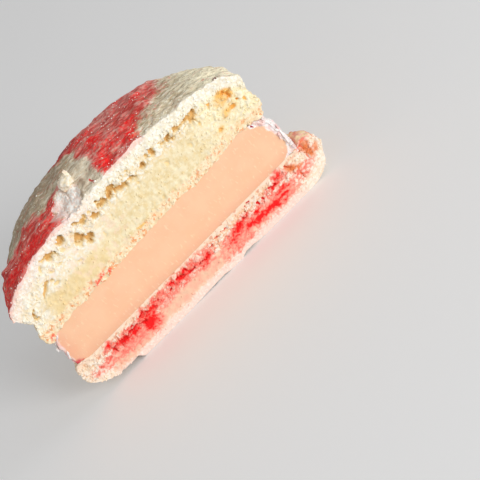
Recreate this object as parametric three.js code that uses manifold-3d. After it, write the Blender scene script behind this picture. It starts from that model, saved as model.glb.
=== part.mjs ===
// Half of a filled macaron, cut straight down through its middle: a tall domed shell of baked
// almond meringue on top, a thick slab of firm filling with its side rolled in shredded coconut,
// and a second, flatter shell turned upside down underneath. It rests on the flat of that shell.
import * as THREE from "three";
import { mergeVertices } from "three/addons/utils/BufferGeometryUtils.js";
import Module from "manifold-3d";

const wasm = await Module();
wasm.setup();

// Driving dimensions in millimetres. X runs along the cut, +Y away from it and +Z up. Heights are
// over the flat underside, and the cut face is at y = 0 until the last step.
const seam = 0.3; // between the filling and each shell
const roundSteps = 76; // round the whole macaron, before it is cut
const grain = 1; // step of the crumb on a cut face

// The top shell: a crust that domes over a porous crumb, and a ruffled foot that stands under it.
// The foot hangs a little lower at its edge, round the filling's shoulder.
const top = {
  middle: -0.45,
  radius: 23.6,
  rimHeight: 19.9,
  domeRise: 5.4,
  domePower: 2.1,
  humpBehindCut: 2.3,
  footRadius: 22.9,
  footHeight: 15.4,
  footWaist: 22.4,
  waistShift: 0.45,
  lowest: 12.95,
  crustBottom: 23.4,
  slopeAlongCut: 0.028,
};

// The filling: a pressed slab with rounded sides. Its upper face follows the top shell.
const filling = { middle: -0.6, radius: 22.0, bottom: 6.7, top: 13.85 };

// The bottom shell, upside down: its crust is the flat underside, its foot is at the top.
const bottom = {
  middle: 0.62,
  radius: 24.4,
  flatRadius: 19,
  widestHeight: 4.3,
  footRadius: 23.4,
  topside: 6.7,
  crustTop: 1.4,
};

// Soft swellings and dips of the crust, in plan: [x, y, spread, height]. The last is scraped.
const swells = [
  [-14, -1, 5, 0.45],
  [-15, 15, 6, 0.75],
  [13, 15, 6, 0.6],
  [-20, 8, 4, 0.5],
  [20, 5, 4, 0.5],
  [-7, 2, 3, -0.55],
];

// Hollows that the cut lays open: [x, z, half width, half height, depth, turn in degrees].
const topHollows = [
  [-14.0, 22.55, 0.95, 0.55, 1.6, 0],
  [-10.9, 22.8, 0.8, 0.6, 1.5, 0],
  [-7.5, 23.0, 0.95, 0.45, 1.3, -12],
  [-5.1, 22.3, 0.7, 0.6, 1.3, 0],
  [-3.2, 22.85, 1.1, 0.6, 1.8, -8],
  [-1.2, 22.8, 1.0, 0.65, 1.8, 6],
  [1.2, 22.1, 1.5, 0.4, 1.2, 0],
  [4.6, 22.2, 0.5, 0.5, 1.4, 0],
  [6.8, 22.5, 0.4, 0.45, 1.1, 0],
  [9.7, 22.3, 0.75, 0.55, 1.5, -10],
  [12.2, 22.35, 1.1, 0.35, 1.2, 0],
  [14.1, 22.2, 0.95, 0.6, 1.6, 0],
  [-8.3, 20.75, 0.7, 1.35, 2.0, 38],
  [-17.7, 19.0, 0.45, 1.25, 1.3, -52],
  [-15.8, 19.3, 0.6, 0.4, 0.9, 0],
  [-21.4, 17.5, 0.4, 0.85, 1.2, -12],
  [19.7, 21.0, 0.75, 0.8, 1.2, 20],
  [19.3, 18.4, 0.65, 0.4, 0.8, 0],
];
const bottomHollows = [
  [-17.3, 4.6, 0.7, 0.35, 0.9, 20],
  [-13.6, 4.75, 1.1, 0.3, 1.0, 0],
  [-10.9, 5.2, 0.8, 0.35, 1.0, 30],
  [-3.2, 5.1, 1.2, 0.35, 1.0, 0],
  [-0.7, 4.6, 1.0, 0.35, 0.9, 0],
  [3.4, 5.2, 0.6, 0.25, 0.8, 0],
  [9.8, 4.8, 0.3, 0.6, 0.9, 0],
  [15.8, 4.9, 1.0, 0.3, 0.9, -8],
  [19.5, 4.8, 0.35, 0.9, 1.0, 40],
];

// A crumb left lying on the crust by the scraped place, and a chip off the underside's left end.
const looseCrumb = { place: [-4.6, 5.6], size: [1.0, 1.5, 0.8], sink: 0.25 };
const chip = { x: -20.1, size: [4.7, 5.0, 1.15] };

// Coconut shreds on the filling's side, in rows one over the other.
const shred = {
  lengths: [1.7, 2.3, 2.9],
  width: 0.85,
  thickness: 0.42,
  rows: 4,
  perRow: 17,
  keepOffShells: 0.35,
  keepOffCut: 0.25,
};

// A number from 0 to 1 for each lattice point, the same on every run.
function lattice(i, j, k) {
  const s = Math.sin(i * 127.1 + j * 311.7 + k * 74.7) * 43758.5453;
  return s - Math.floor(s);
}

// Smooth noise from -1 to 1 that changes over about one unit.
function noise(x, y, z) {
  const cell = [x, y, z].map(Math.floor);
  const ease = [x, y, z].map((v, n) => {
    const t = v - cell[n];
    return t * t * (3 - 2 * t);
  });
  let sum = 0;
  for (let corner = 0; corner < 8; corner++) {
    const bit = [corner & 1, (corner >> 1) & 1, (corner >> 2) & 1];
    const share = bit.reduce((s, b, n) => s * (b ? ease[n] : 1 - ease[n]), 1);
    sum += share * lattice(cell[0] + bit[0], cell[1] + bit[1], cell[2] + bit[2]);
  }
  return 2 * sum - 1;
}

// Evenly spread draws from 0 to 1 in a fixed order.
function drawer(seed) {
  let state = seed;
  return () => {
    state = (state * 1664525 + 1013904223) % 4294967296;
    return state / 4294967296;
  };
}

const ramp = (low, high, v) => THREE.MathUtils.smoothstep(v, low, high);

// A closed mesh as a solid, and back again.
function solidOf(geometry) {
  const bare = geometry.clone();
  bare.deleteAttribute("normal");
  bare.deleteAttribute("uv");
  const merged = mergeVertices(bare, 1e-4);
  const corners = [];
  for (let i = 0; i < merged.index.count; i += 3) {
    const [a, b, c] = merged.index.array.slice(i, i + 3);
    if (a !== b && b !== c && a !== c) corners.push(a, b, c);
  }
  return new wasm.Manifold(
    new wasm.Mesh({
      numProp: 3,
      vertProperties: merged.attributes.position.array,
      triVerts: new Uint32Array(corners),
    }),
  );
}

function geometryOf(solid) {
  const mesh = solid.getMesh();
  return new THREE.BufferGeometry()
    .setAttribute("position", new THREE.BufferAttribute(mesh.vertProperties, 3))
    .setIndex(new THREE.BufferAttribute(mesh.triVerts, 1));
}

// The largest body of a solid: scraps that a cut leaves are dropped.
function largest(solid) {
  return solid.decompose().sort((a, b) => b.volume() - a.volume())[0];
}

// Moves each vertex of a geometry as a function of its place says.
function reshape(geometry, move) {
  const place = geometry.attributes.position;
  const v = new THREE.Vector3();
  for (let i = 0; i < place.count; i++) {
    v.fromBufferAttribute(place, i);
    move(v);
    place.setXYZ(i, v.x, v.y, v.z);
  }
  return geometry;
}

// A round body from its profile of [radius, height], listed from the bottom on the axis to the top
// on the axis. Its axis stands on the cut line at x = middle.
function turned(profile, middle) {
  const points = profile.map(([r, z]) => new THREE.Vector2(r, z));
  return new THREE.LatheGeometry(points, roundSteps)
    .rotateX(Math.PI / 2)
    .translate(middle, 0, 0);
}

// A smooth curve through a few [radius, height] points.
function smooth(points, steps) {
  const curve = new THREE.SplineCurve(points.map(([r, z]) => new THREE.Vector2(r, z)));
  return curve.getPoints(steps).map((p) => [p.x, p.y]);
}

// Points at one height, at these shares of a radius.
const level = (shares, radius, z) => shares.map((share) => [share * radius, z]);

// What the knife takes away: everything in front of the cut face. A positive relief digs deeper.
function knife(low, high, relief) {
  const width = 54;
  const deep = 32;
  const tall = high - low;
  const [across, upward] = [Math.round(width / grain), Math.round(tall / grain)];
  const block = new THREE.BoxGeometry(width, deep, tall, across, 1, upward)
    .translate(0, -deep / 2, (low + high) / 2);
  return solidOf(reshape(block, (v) => {
    if (v.y > -deep / 2) v.y = relief(v.x, v.z);
  }));
}

// The torn crumb's relief on a cut face: coarse lumps with finer ones on them.
function crumb(x, z, depth) {
  return depth * (0.65 * noise(x * 0.45, 3, z * 0.6) + 0.6 * noise(x * 1.3, 9, z * 1.3));
}

// A lump with uneven facets, for a hollow or a crumb.
function lump(place, size, turn, seed) {
  const ball = new THREE.IcosahedronGeometry(1, 1);
  reshape(ball, (v) => v.multiplyScalar(1 + 0.22 * noise(v.x * 1.7 + seed, v.y * 1.7, v.z * 1.7)));
  ball.scale(...size).rotateY(THREE.MathUtils.degToRad(turn)).translate(...place);
  return solidOf(ball);
}

function hollows(list) {
  return wasm.Manifold.union(list.map(([x, z, halfWidth, halfHeight, deep, turn], n) =>
    lump([x, 0.1, z], [halfWidth, deep, halfHeight], turn, n * 3.7)));
}

// The crust's height over the rim: a flattened dome with a hump behind the cut and its swellings.
function crustRise(x, y) {
  const reach = Math.min(1, Math.hypot(x - top.middle, y) / top.radius);
  const dome = Math.sqrt(Math.max(0, 1 - reach ** top.domePower));
  const hump = (4 * top.humpBehindCut * Math.max(0, y) * (1 - reach)) / top.radius;
  const uneven = swells.reduce((sum, [sx, sy, spread, height]) =>
    sum + height * Math.exp(-((x - sx) ** 2 + (y - sy) ** 2) / spread ** 2), 0);
  return (top.domeRise + hump) * dome + uneven * Math.min(1, 3 * dome);
}

// The slab of filling, grown on every side by a gap for the shells to be cut back to.
function slab(gap) {
  const radius = filling.radius + gap;
  const [low, high] = [filling.bottom - gap, filling.top + gap];
  const side = smooth([
    [radius - 1.5, low],
    [radius - 0.35, low + 1.4],
    [radius, low + 3.2],
    [radius - 0.7, high - 1.5],
    [radius - 2.6, high],
  ], 7);
  const profile = [...level([0, 0.7], radius, low), ...side, ...level([0.5, 0], radius, high)];
  return solidOf(reshape(turned(profile, filling.middle), (v) => {
    v.z += top.slopeAlongCut * v.x * ramp(filling.bottom, filling.top, v.z);
  }));
}

// Ruffles of a baked foot and slow waves of its edge, as a factor on the distance from the middle.
function ruffled(x, y, z, radius, depth, seed) {
  const ruffle = depth * noise(x * 0.5, y * 0.5, z * 0.9 + seed);
  const wave = 0.15 * noise(x * 0.15, y * 0.15, seed);
  return 1 + (ruffle + wave) / radius;
}

function topShell() {
  const foot = smooth([
    [top.footRadius - 1.2, top.lowest],
    [top.footRadius - 0.2, top.lowest + 0.7],
    [top.footRadius, top.footHeight],
    [top.footWaist, top.footHeight + 2],
    [top.footWaist + 0.7, top.rimHeight - 1.4],
  ], 8);
  const crustSteps = 12;
  const crust = Array.from({ length: crustSteps + 1 }, (_, i) => {
    const reach = Math.max(0, Math.cos((i / crustSteps) * (Math.PI / 2)));
    const rise = top.domeRise * Math.sqrt(1 - reach ** top.domePower);
    return [i === crustSteps ? 0 : top.radius * reach, top.rimHeight + rise];
  });
  const body = turned([[0, top.lowest], ...foot, ...crust], top.middle);
  reshape(body, (v) => {
    const [dx, dy] = [v.x - top.middle, v.y];
    const onCrust = ramp(top.rimHeight, top.rimHeight + 0.4, v.z);
    const waistHeight = top.footHeight + 2;
    const onFoot = 1 - ramp(waistHeight, top.rimHeight - 0.5, v.z);
    const onWaist = onFoot * ramp(top.footHeight - 1, waistHeight - 1, v.z);
    if (onCrust > 0) {
      const ripple = 0.2 * noise(v.x * 0.4, v.y * 0.4, 5);
      v.z += onCrust * (top.rimHeight + crustRise(v.x, v.y) + ripple - v.z);
    }
    const grow = ruffled(dx, dy, v.z, top.radius, 0.45 * onFoot, 2);
    v.x = top.middle + dx * grow + top.waistShift * onWaist;
    v.y = dy * grow;
    v.z += top.slopeAlongCut * v.x;
  });
  const [x, y] = looseCrumb.place;
  const onCrust = top.rimHeight + top.slopeAlongCut * x + crustRise(x, y) - looseCrumb.sink;
  return largest(solidOf(body)
    .subtract(slab(seam))
    .subtract(knife(11.6, 28.7, (x, z) => crumb(x, z, z > top.crustBottom ? 0.2 : 0.3)))
    .subtract(hollows(topHollows))
    .add(lump([x, y, onCrust], looseCrumb.size, 10, 8)));
}

function bottomShell() {
  const under = level([0, 0.5], bottom.flatRadius, 0);
  const side = smooth([
    [bottom.flatRadius, 0],
    [bottom.flatRadius + 2.4, 0.45],
    [bottom.radius - 1.1, 1.8],
    [bottom.radius, bottom.widestHeight],
    [bottom.footRadius, bottom.topside],
    [bottom.footRadius - 1.2, bottom.topside],
  ], 9);
  const body = turned([...under, ...side, [0, bottom.topside]], bottom.middle);
  reshape(body, (v) => {
    const [dx, dy] = [v.x - bottom.middle, v.y];
    const reach = Math.hypot(dx, dy) / bottom.radius;
    const onSide = ramp(0.3, 2.2, v.z) * ramp(0.86, 0.95, reach);
    const onFoot = onSide * ramp(bottom.widestHeight - 1.3, bottom.widestHeight, v.z);
    const onEdge = onFoot * ramp(bottom.topside - 1.7, bottom.topside - 0.7, v.z);
    const grow = onSide > 0 ? ruffled(dx, dy, v.z, bottom.radius, 0.5 * onFoot, 11) : 1;
    v.x = bottom.middle + dx * grow;
    v.y = dy * grow;
    v.z += 0.5 * onEdge * (0.6 + noise(dx * 0.35, dy * 0.35, 4));
  });
  return largest(solidOf(body)
    .subtract(slab(seam))
    .subtract(knife(-2.4, 9.1, (x, z) => crumb(x + 40, z, z > bottom.crustTop ? 0.28 : 0.15)))
    .subtract(hollows(bottomHollows))
    .subtract(lump([chip.x, 0, 0], chip.size, 0, 5)));
}

// One shred of coconut: a short curved strip, thinner at its ends, along X with its flat side out.
function coconutShred(length, bend) {
  const strip = new THREE.BoxGeometry(length, shred.width, shred.thickness, 2, 1, 1);
  return reshape(strip, (v) => {
    const along = (2 * v.x) / length;
    v.y *= 1 - 0.55 * along * along;
    v.z += bend * (1 - along * along);
  });
}

// The coat of shreds. Each leans its own way, bites into the slab and stays between the shells.
function coating() {
  const draw = drawer(7);
  const shreds = [];
  for (let row = 0; row < shred.rows; row++) {
    for (let n = 0; n < shred.perRow; n++) {
      const angle = Math.PI * ((n + 0.2 + 0.6 * draw()) / shred.perRow);
      const length = shred.lengths[Math.floor(draw() * shred.lengths.length)];
      const lean = (draw() - 0.5) * 2.6;
      const reachUp = Math.abs(Math.sin(lean)) * length * 0.5 + 0.35;
      const x = filling.middle + Math.cos(angle) * filling.radius;
      const low = filling.bottom + shred.keepOffShells + reachUp;
      const high = filling.top - 1 + top.slopeAlongCut * x - shred.keepOffShells - reachUp;
      const up = (row + 0.5 + 0.5 * (draw() - 0.5)) / shred.rows;
      const out = filling.radius + 0.1 + 0.4 * draw() - 0.9 * (2 * up - 1) ** 2;
      const strip = coconutShred(length, 0.15 + 0.25 * draw())
        .rotateX((draw() - 0.5) * 1.1)
        .rotateZ(lean)
        .rotateX(Math.PI / 2)
        .rotateZ(angle + Math.PI / 2)
        .translate(
          filling.middle + Math.cos(angle) * out,
          Math.sin(angle) * out,
          THREE.MathUtils.lerp(low, Math.max(low, high), up),
        );
      shreds.push(solidOf(strip));
    }
  }
  return wasm.Manifold.union(shreds);
}

function fillingSlab() {
  const cut = slab(0).subtract(knife(4, 17, () => 0));
  const coat = coating().subtract(knife(4, 17, () => shred.keepOffCut));
  return largest(cut.add(coat));
}

function piece(name, solid, colour, roughness) {
  const finish = new THREE.MeshStandardMaterial({ color: colour, roughness, metalness: 0 });
  const mesh = new THREE.Mesh(geometryOf(solid), finish);
  mesh.name = name;
  return mesh;
}

const macaron = new THREE.Group();
macaron.add(piece("top_shell", topShell(), 0xf1e3b8, 0.85));
macaron.add(piece("filling", fillingSlab(), 0xf7c39b, 0.45));
macaron.add(piece("bottom_shell", bottomShell(), 0xf3d3b4, 0.85));

// The origin lies on the underside, under the middle of the whole.
const box = new THREE.Box3().setFromObject(macaron);
const middle = box.getCenter(new THREE.Vector3());
macaron.position.set(-middle.x, -middle.y, -box.min.z);

export default macaron;
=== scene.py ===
"""Half of a filled macaron, cut through its middle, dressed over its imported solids.

Shapes are drawn in millimetres: x along the cut, y into the food from the cut face, z up from the
flat underside. Meshes and materials both turn that drawing into the frame's metres.
"""
import itertools
import math

import bmesh
import bpy
import numpy as np
from mathutils import Matrix, Vector


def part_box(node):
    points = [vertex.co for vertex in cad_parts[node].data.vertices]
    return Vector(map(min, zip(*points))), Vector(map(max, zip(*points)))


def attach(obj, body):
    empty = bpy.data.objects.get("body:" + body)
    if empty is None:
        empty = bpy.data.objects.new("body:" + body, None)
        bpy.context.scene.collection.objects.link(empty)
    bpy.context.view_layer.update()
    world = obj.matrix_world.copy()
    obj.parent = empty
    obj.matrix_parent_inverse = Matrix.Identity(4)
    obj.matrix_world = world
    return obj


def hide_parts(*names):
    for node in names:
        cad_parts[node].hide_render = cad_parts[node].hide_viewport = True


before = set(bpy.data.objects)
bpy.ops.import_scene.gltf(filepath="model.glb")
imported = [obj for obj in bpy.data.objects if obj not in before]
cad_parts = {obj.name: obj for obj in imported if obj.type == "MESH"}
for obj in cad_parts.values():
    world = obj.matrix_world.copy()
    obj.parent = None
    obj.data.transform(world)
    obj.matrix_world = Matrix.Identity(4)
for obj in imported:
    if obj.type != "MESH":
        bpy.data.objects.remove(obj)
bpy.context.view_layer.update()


# The top shell: almond meringue, baked till it domes and stands on a ruffled foot. The knife has
# torn its pale, porous crumb open. Cream and red batter swirl on its dry, wrinkled crust, which is
# scraped white in one place by the cut.
DRAWING_MIDDLE = -0.571
TOP_MIDDLE = -0.45
TOP_RADIUS = 23.6
RIM_HEIGHT = 19.9
DOME_RISE = 5.4
DOME_POWER = 2.1
HUMP_BEHIND_CUT = 2.3
UNDERSIDE = 13.93
SLOPE_ALONG_CUT = 0.028
# How far behind the cut its relief, and the waves of the seam, have faded.
CUT_FADES_OVER = 1.3
WAVES_FADE_OVER = 1.5
# How far behind the cut the middle of a flat face lies, from which the face fans out, and how far
# back the torn surface goes.
FAN_MIDDLE = 8
TORN_DEPTH = 1.2
WAIST_SHIFT = 0.45
RAISED_AT_RIGHT = 0.4
CRUST_SWELLS = [
    (-14, -1, 5, 0.45), (-15, 15, 6, 0.75), (13, 15, 6, 0.6), (-20, 8, 4, 0.2),
    (-18.7, 11.8, 3, -0.4), (-20.9, 7, 0.9, 0.8), (20, 5, 4, 0.5), (-7, 2, 3, -0.45),
]
# The foot from the filling's shoulder, out round its lowest edge and up to the rim: (radius, z).
TOP_SHOULDER = [(19.4, 13.93), (20.5, 13.7), (21.3, 13.2), (21.7, 13.0)]
TOP_FOOT = [(21.7, 13.0), (22.5, 13.3), (22.85, 14.2), (22.9, 15.4), (22.4, 17.3), (22.9, 18.6),
            (23.6, 19.9)]
# Hollows that the cut lays open: (x, z, half width, half height, depth, turn in degrees).
TOP_HOLLOWS = [
    (-14, 22.55, 0.85, 0.5, 1.2, 0), (-14.6, 22.75, 0.3, 0.2, 0.78, -10),
    (-13.9, 21.95, 0.5, 0.25, 0.45, 0), (-11, 22.85, 0.62, 0.52, 1.2, 0),
    (-11.6, 21.6, 0.4, 0.35, 0.33, 20), (-12.9, 21.9, 0.2, 0.45, 0.33, 0),
    (-7.8, 23.1, 0.72, 0.28, 1, -25), (-7.1, 22.65, 0.36, 0.4, 0.9, 0),
    (-6.3, 22.9, 0.24, 0.31, 0.68, 0), (-9.3, 22.6, 0.25, 0.18, 0.45, -30),
    (-5.1, 22, 0.66, 0.47, 1.1, 0), (-5.3, 22.9, 0.24, 0.25, 0.45, 0),
    (-3.7, 23.1, 0.3, 0.56, 1.1, 10), (-3.1, 22.5, 1.08, 0.44, 1.3, 5),
    (-1.2, 22.95, 0.9, 0.44, 1.3, 5), (-1.7, 22.4, 0.72, 0.38, 1.1, 0),
    (-0.6, 22.3, 0.6, 0.35, 1.3, 0), (0.4, 22.1, 0.84, 0.33, 1.1, 0),
    (1.1, 21.9, 0.3, 0.44, 0.9, 0), (1.9, 22.15, 0.96, 0.15, 0.9, 0),
    (2.4, 21.85, 0.48, 0.44, 0.98, 0), (0.4, 23.3, 0.17, 0.12, 0.52, 0),
    (1, 23.25, 0.17, 0.15, 0.45, 0), (1.5, 23.3, 0.12, 0.22, 0.6, 0),
    (2.4, 23.25, 0.3, 0.15, 0.52, 0), (4.6, 22.15, 0.42, 0.5, 1.3, -15),
    (5.9, 22.7, 0.17, 0.25, 0.68, 0), (6.4, 22.2, 0.36, 0.12, 0.52, 0),
    (6.8, 22.5, 0.31, 0.5, 0.98, 15), (8.4, 22.75, 0.17, 0.18, 0.68, 0),
    (8.9, 22.3, 0.72, 0.16, 0.9, -8), (9.8, 22.3, 0.48, 0.62, 1.3, -10),
    (10.4, 21.65, 0.42, 0.22, 0.83, 20), (11.5, 22.55, 0.42, 0.33, 1, -20),
    (12.4, 22.3, 0.72, 0.15, 0.98, 0), (13.8, 22.5, 0.96, 0.35, 1.3, 0),
    (14.2, 21.9, 0.6, 0.62, 1, 10), (14.4, 21, 0.18, 0.65, 0.59, 0),
    (-8.8, 20.95, 0.75, 0.55, 1.3, -45), (-8, 20.2, 0.6, 0.55, 1.4, -50),
    (-8.9, 21.8, 0.3, 0.6, 0.59, 0), (-9.5, 20.6, 0.55, 0.6, 0.45, 0),
    (-8.2, 19.55, 0.35, 0.35, 0.78, 0), (-15.9, 22.1, 0.18, 0.5, 0.33, -25),
    (-15.3, 20.6, 0.5, 0.2, 0.39, -30), (-13.6, 20.45, 0.6, 0.22, 0.33, 10),
    (-18.4, 18.6, 0.16, 0.6, 0.72, -35), (-17.6, 19.2, 0.6, 0.17, 0.78, 40),
    (-16.8, 19.8, 0.45, 0.17, 0.78, 20), (-16, 19.3, 0.22, 0.35, 0.59, 20),
    (-15.9, 18.7, 0.45, 0.18, 0.45, 0), (-21.5, 17.5, 0.22, 0.6, 0.85, -10),
    (-21, 18.15, 0.35, 0.14, 0.65, 0), (-21.2, 16.75, 0.4, 0.18, 0.59, 0),
    (-20.6, 19.3, 0.1, 0.4, 0.33, 0), (-11.3, 18.6, 0.5, 0.2, 0.33, -20),
    (-6, 18.8, 0.18, 0.3, 0.26, 0), (-3.4, 19.5, 0.07, 0.9, 0.39, 8),
    (2.5, 20.6, 0.14, 0.2, 0.45, 0), (1.9, 20.1, 0.14, 0.3, 0.26, 0),
    (7.3, 19.75, 0.28, 0.35, 0.39, 20), (11.4, 19, 0.3, 0.35, 0.33, 0),
    (5.3, 15.6, 0.18, 0.3, 0.26, 0), (3.5, 16.15, 0.2, 0.12, 0.39, 0),
    (16, 17.3, 0.35, 0.28, 0.39, 30), (15.2, 17.05, 0.28, 0.18, 0.33, 0),
    (17.8, 18.15, 0.12, 0.12, 0.39, 0), (17.2, 21.45, 0.28, 0.28, 0.33, 20),
    (19.7, 21.15, 0.38, 0.32, 0.65, 0), (20.2, 20.5, 0.18, 0.55, 0.65, 15),
    (19.6, 20.15, 0.4, 0.1, 0.52, 0), (19.4, 18.45, 0.45, 0.26, 0.52, 10),
    (20.7, 18.9, 0.14, 0.1, 0.59, 0), (18.4, 16.25, 0.1, 0.25, 0.45, 10),
    (21.5, 18.1, 0.2, 0.35, 0.33, 0),
]
# The wavy line where the crumb meets the filling on the cut: (x, z).
SEAM = [(-25, 13.3), (-20, 13.45), (-18, 13.6), (-16.5, 13.9), (-15, 13.35), (-13, 13.9),
        (-11, 13.45), (-9, 13.95), (-4.5, 14.0), (0, 14.2), (4.2, 14.4), (7, 14.3), (7.8, 13.85),
        (9.5, 14.2), (13, 14.35), (16.5, 14.9), (18.2, 14.75), (20, 14.3), (25, 14.0)]
# Stains on the cut: (x, z, half width, half height, strength). They reach this far behind it.
STAINS_REACH = 4
ORANGE_STAINS = [
    (19.5, 20.7, 1.6, 1.1, 0.9), (18.8, 18.7, 1.9, 0.7, 0.7), (16, 17.4, 1, 0.5, 0.7),
    (22.3, 21.6, 0.7, 0.5, 0.5), (17.2, 21.4, 0.6, 0.5, 0.4), (18, 19.8, 2.6, 1.2, 0.15),
    (-1.7, 15.6, 0.7, 0.25, 1), (17.5, 15.5, 1.6, 0.5, 0.4), (-9.5, 21.4, 0.8, 1.2, 0.5),
]
PINK_STAINS = [
    (-10.5, 14.7, 0.7, 0.5, 1), (-12.3, 14.3, 1.5, 0.5, 0.7), (-9.4, 14.3, 0.7, 0.4, 0.8),
    (-11.5, 13.8, 0.7, 0.4, 0.5), (-21.6, 14.3, 1, 0.3, 0.5), (-18.5, 14.1, 2, 0.3, 0.35),
    (-22, 13, 0.7, 0.6, 0.9), (12.5, 15.5, 0.6, 0.25, 0.6), (9, 14.9, 0.8, 0.3, 0.45),
    (0, 14.9, 2.5, 0.4, 0.3), (-7, 24.4, 1.6, 0.35, 0.3), (-3.3, 24.7, 0.7, 0.3, 0.3),
    (-4.3, 23.2, 0.8, 0.6, 0.2), (-8, 21.3, 0.6, 0.5, 0.2), (-5.5, 21, 1.6, 1.2, 0.15),
]
# Outlines of the red batter on the crust, in plan.
RED_SWIRLS = [
    [(-30, -3), (-8.2, -3), (-8.6, 1.5), (-8.9, 3.2), (-7.4, 4.8), (-5.6, 5.9), (-6.6, 6.5),
     (-8.9, 6.3), (-10.6, 6.3), (-12.2, 7.5), (-14.5, 8.4), (-16.5, 7.8), (-18.2, 7.2), (-20, 9.5),
     (-19, 13), (-17, 19), (-22, 22), (-30, 18)],
    [(0.0, -3), (5.2, -3), (6.9, 1), (9, 3), (10.6, 5.5), (12.6, 7), (14, 9), (15, 13), (14.5, 17),
     (12, 30), (-6, 30), (-6.8, 20), (-5.8, 15), (-3.4, 12), (-2.0, 9.5), (-0.7, 7.2), (-0.3, 4.7),
     (-0.3, 2.3)],
]
# The brightest and thickest red within them: (x, y, half width, half depth, strength).
VIVID_REDS = [
    (1.2, 1.6, 1.3, 2.2, 1), (2, 7.5, 1.6, 1.5, 0.9), (3.5, 3.5, 2.4, 1.8, 0.6),
    (6.8, 2, 1.6, 1.2, 1), (8, 4.5, 1.5, 1, 0.8), (11, 9.5, 2, 1.2, 0.6),
    (1.5, 11.5, 2.6, 1.1, 0.6), (-13, 2, 5, 1.8, 0.9), (-18.5, 2.5, 4, 2.5, 0.8),
    (-22, 3.5, 2, 3.5, 0.7), (-9.5, 5, 2.2, 0.9, 0.8), (-15, 5.8, 2.6, 1.4, 0.6),
    (2, 16, 4, 1.4, 0.5), (10, 15, 3, 1.4, 0.6),
]
# Smaller marks on the crust: pink where the scraped crumb begins, one red fleck, and the shallow groove
# beside the scraped place, which is dented and darkened with painted shade. Then the scraped place's
# outline in plan.
BLUSHES = [(-9.1, 1.7, 0.8, 1.1, 1.0), (-7.4, 0.3, 1.4, 0.5, 0.6)]
FLECKS = [(-2.1, 1.6, 0.14, 0.3, 1.2), (-1.9, 1.2, 0.14, 0.3, 1.3), (-1.7, 0.7, 0.14, 0.3, 1.2)]
GROOVES = [(-3.1, 2.3, 0.4, 1.0, 1.0), (-4.0, 0.8, 0.4, 0.7, 1.0)]
SCRAPE = [(-8.3, -1), (-8.7, 1.6), (-9.0, 3.0), (-8.5, 3.9), (-7.8, 4.7), (-6.8, 5.5), (-5.5, 5.4),
          (-4.6, 3.8), (-3.8, 2.7), (-4.0, 1.3), (-4.9, 0), (-5.4, -1)]


def joined(x, y, z):
    """Points from their coordinates. A coordinate that all of them share may be one number."""
    return np.stack(np.broadcast_arrays(x, y, z), -1)


def lattice(cells, seed):
    """A number from 0 to 1 for each whole-numbered cell, the same on every run."""
    i, j, k = cells[..., 0], cells[..., 1], cells[..., 2]
    mixed = (i * 374761393 + j * 668265263 + k * 2246822519 + seed * 3266489917) & 0xFFFFFFFF
    mixed = ((mixed ^ (mixed >> 15)) * 2654435761) & 0xFFFFFFFF
    return (mixed ^ (mixed >> 13)) / 0xFFFFFFFF


def ripple(points, size, seed=0):
    """Smooth noise from -1 to 1 that changes over about one size."""
    scaled = points / size
    cells = np.floor(scaled).astype(np.int64)
    ease = scaled - cells
    ease = ease * ease * (3 - 2 * ease)
    total = 0.0
    for corner in itertools.product((0, 1), repeat=3):
        share = np.prod(np.where(corner, ease, 1 - ease), axis=-1)
        total = total + share * lattice(cells + np.array(corner), seed)
    return 2 * total - 1


def grains(points, size, seed=0):
    """For each point, how far the nearest and second grain's middles are, and that grain's number."""
    scaled = points / size
    cells = np.floor(scaled).astype(np.int64)
    nearest = np.full(points.shape[:-1], 9.0)
    second = nearest.copy()
    number = np.zeros_like(nearest)
    for step in itertools.product((-1, 0, 1), repeat=3):
        cell = cells + np.array(step)
        middle = cell + np.stack([lattice(cell, seed + axis) for axis in (1, 2, 3)], -1)
        away = np.linalg.norm(scaled - middle, axis=-1)
        closer = away < nearest
        second = np.where(closer, nearest, np.minimum(second, away))
        number = np.where(closer, lattice(cell, seed + 4), number)
        nearest = np.minimum(nearest, away)
    return nearest, second, number


def ramp(low, high, values):
    """0 below low, 1 above high, and a smooth step between them."""
    share = np.clip((values - low) / (high - low), 0, 1)
    return share * share * (3 - 2 * share)


def curve_through(points, count):
    """A smooth line through a few points, as count points at even steps."""
    points = np.array(points, float)
    padded = np.concatenate([[2 * points[0] - points[1]], points, [2 * points[-1] - points[-2]]])
    pieces = []
    for before, start, end, after in zip(padded, padded[1:], padded[2:], padded[3:]):
        t = np.linspace(0, 1, 24, endpoint=False)[:, None]
        bend = 2 * before - 5 * start + 4 * end - after
        swing = -before + 3 * start - 3 * end + after
        pieces.append(start + 0.5 * t * (end - before + t * (bend + t * swing)))
    return evenly(np.concatenate([*pieces, points[-1:]]), count)


def evenly(line, count):
    """The same line with count points at even distances along it."""
    travelled = np.concatenate([[0], np.cumsum(np.linalg.norm(np.diff(line, axis=0), axis=1))])
    wanted = np.linspace(0, travelled[-1], count)
    return np.stack([np.interp(wanted, travelled, axis) for axis in line.T], -1)


def patch(bottom, top, left, right):
    """A grid of points between four lines that meet at their ends."""
    s = np.linspace(0, 1, len(bottom))[:, None, None]
    t = np.linspace(0, 1, len(left))[None, :, None]
    ruled = (1 - t) * bottom[:, None] + t * top[:, None] + (1 - s) * left[None] + s * right[None]
    corners = ((1 - s) * (1 - t) * bottom[0] + s * (1 - t) * bottom[-1]
               + (1 - s) * t * top[0] + s * t * top[-1])
    return ruled - corners


def pushed(grid, amount):
    """The grid with each point moved along the surface's normal."""
    across = np.gradient(grid, axis=0)
    along = np.gradient(grid, axis=1)
    normal = np.cross(across, along)
    normal /= np.maximum(np.linalg.norm(normal, axis=-1, keepdims=True), 1e-9)
    return grid + normal * amount[..., None]


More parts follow.
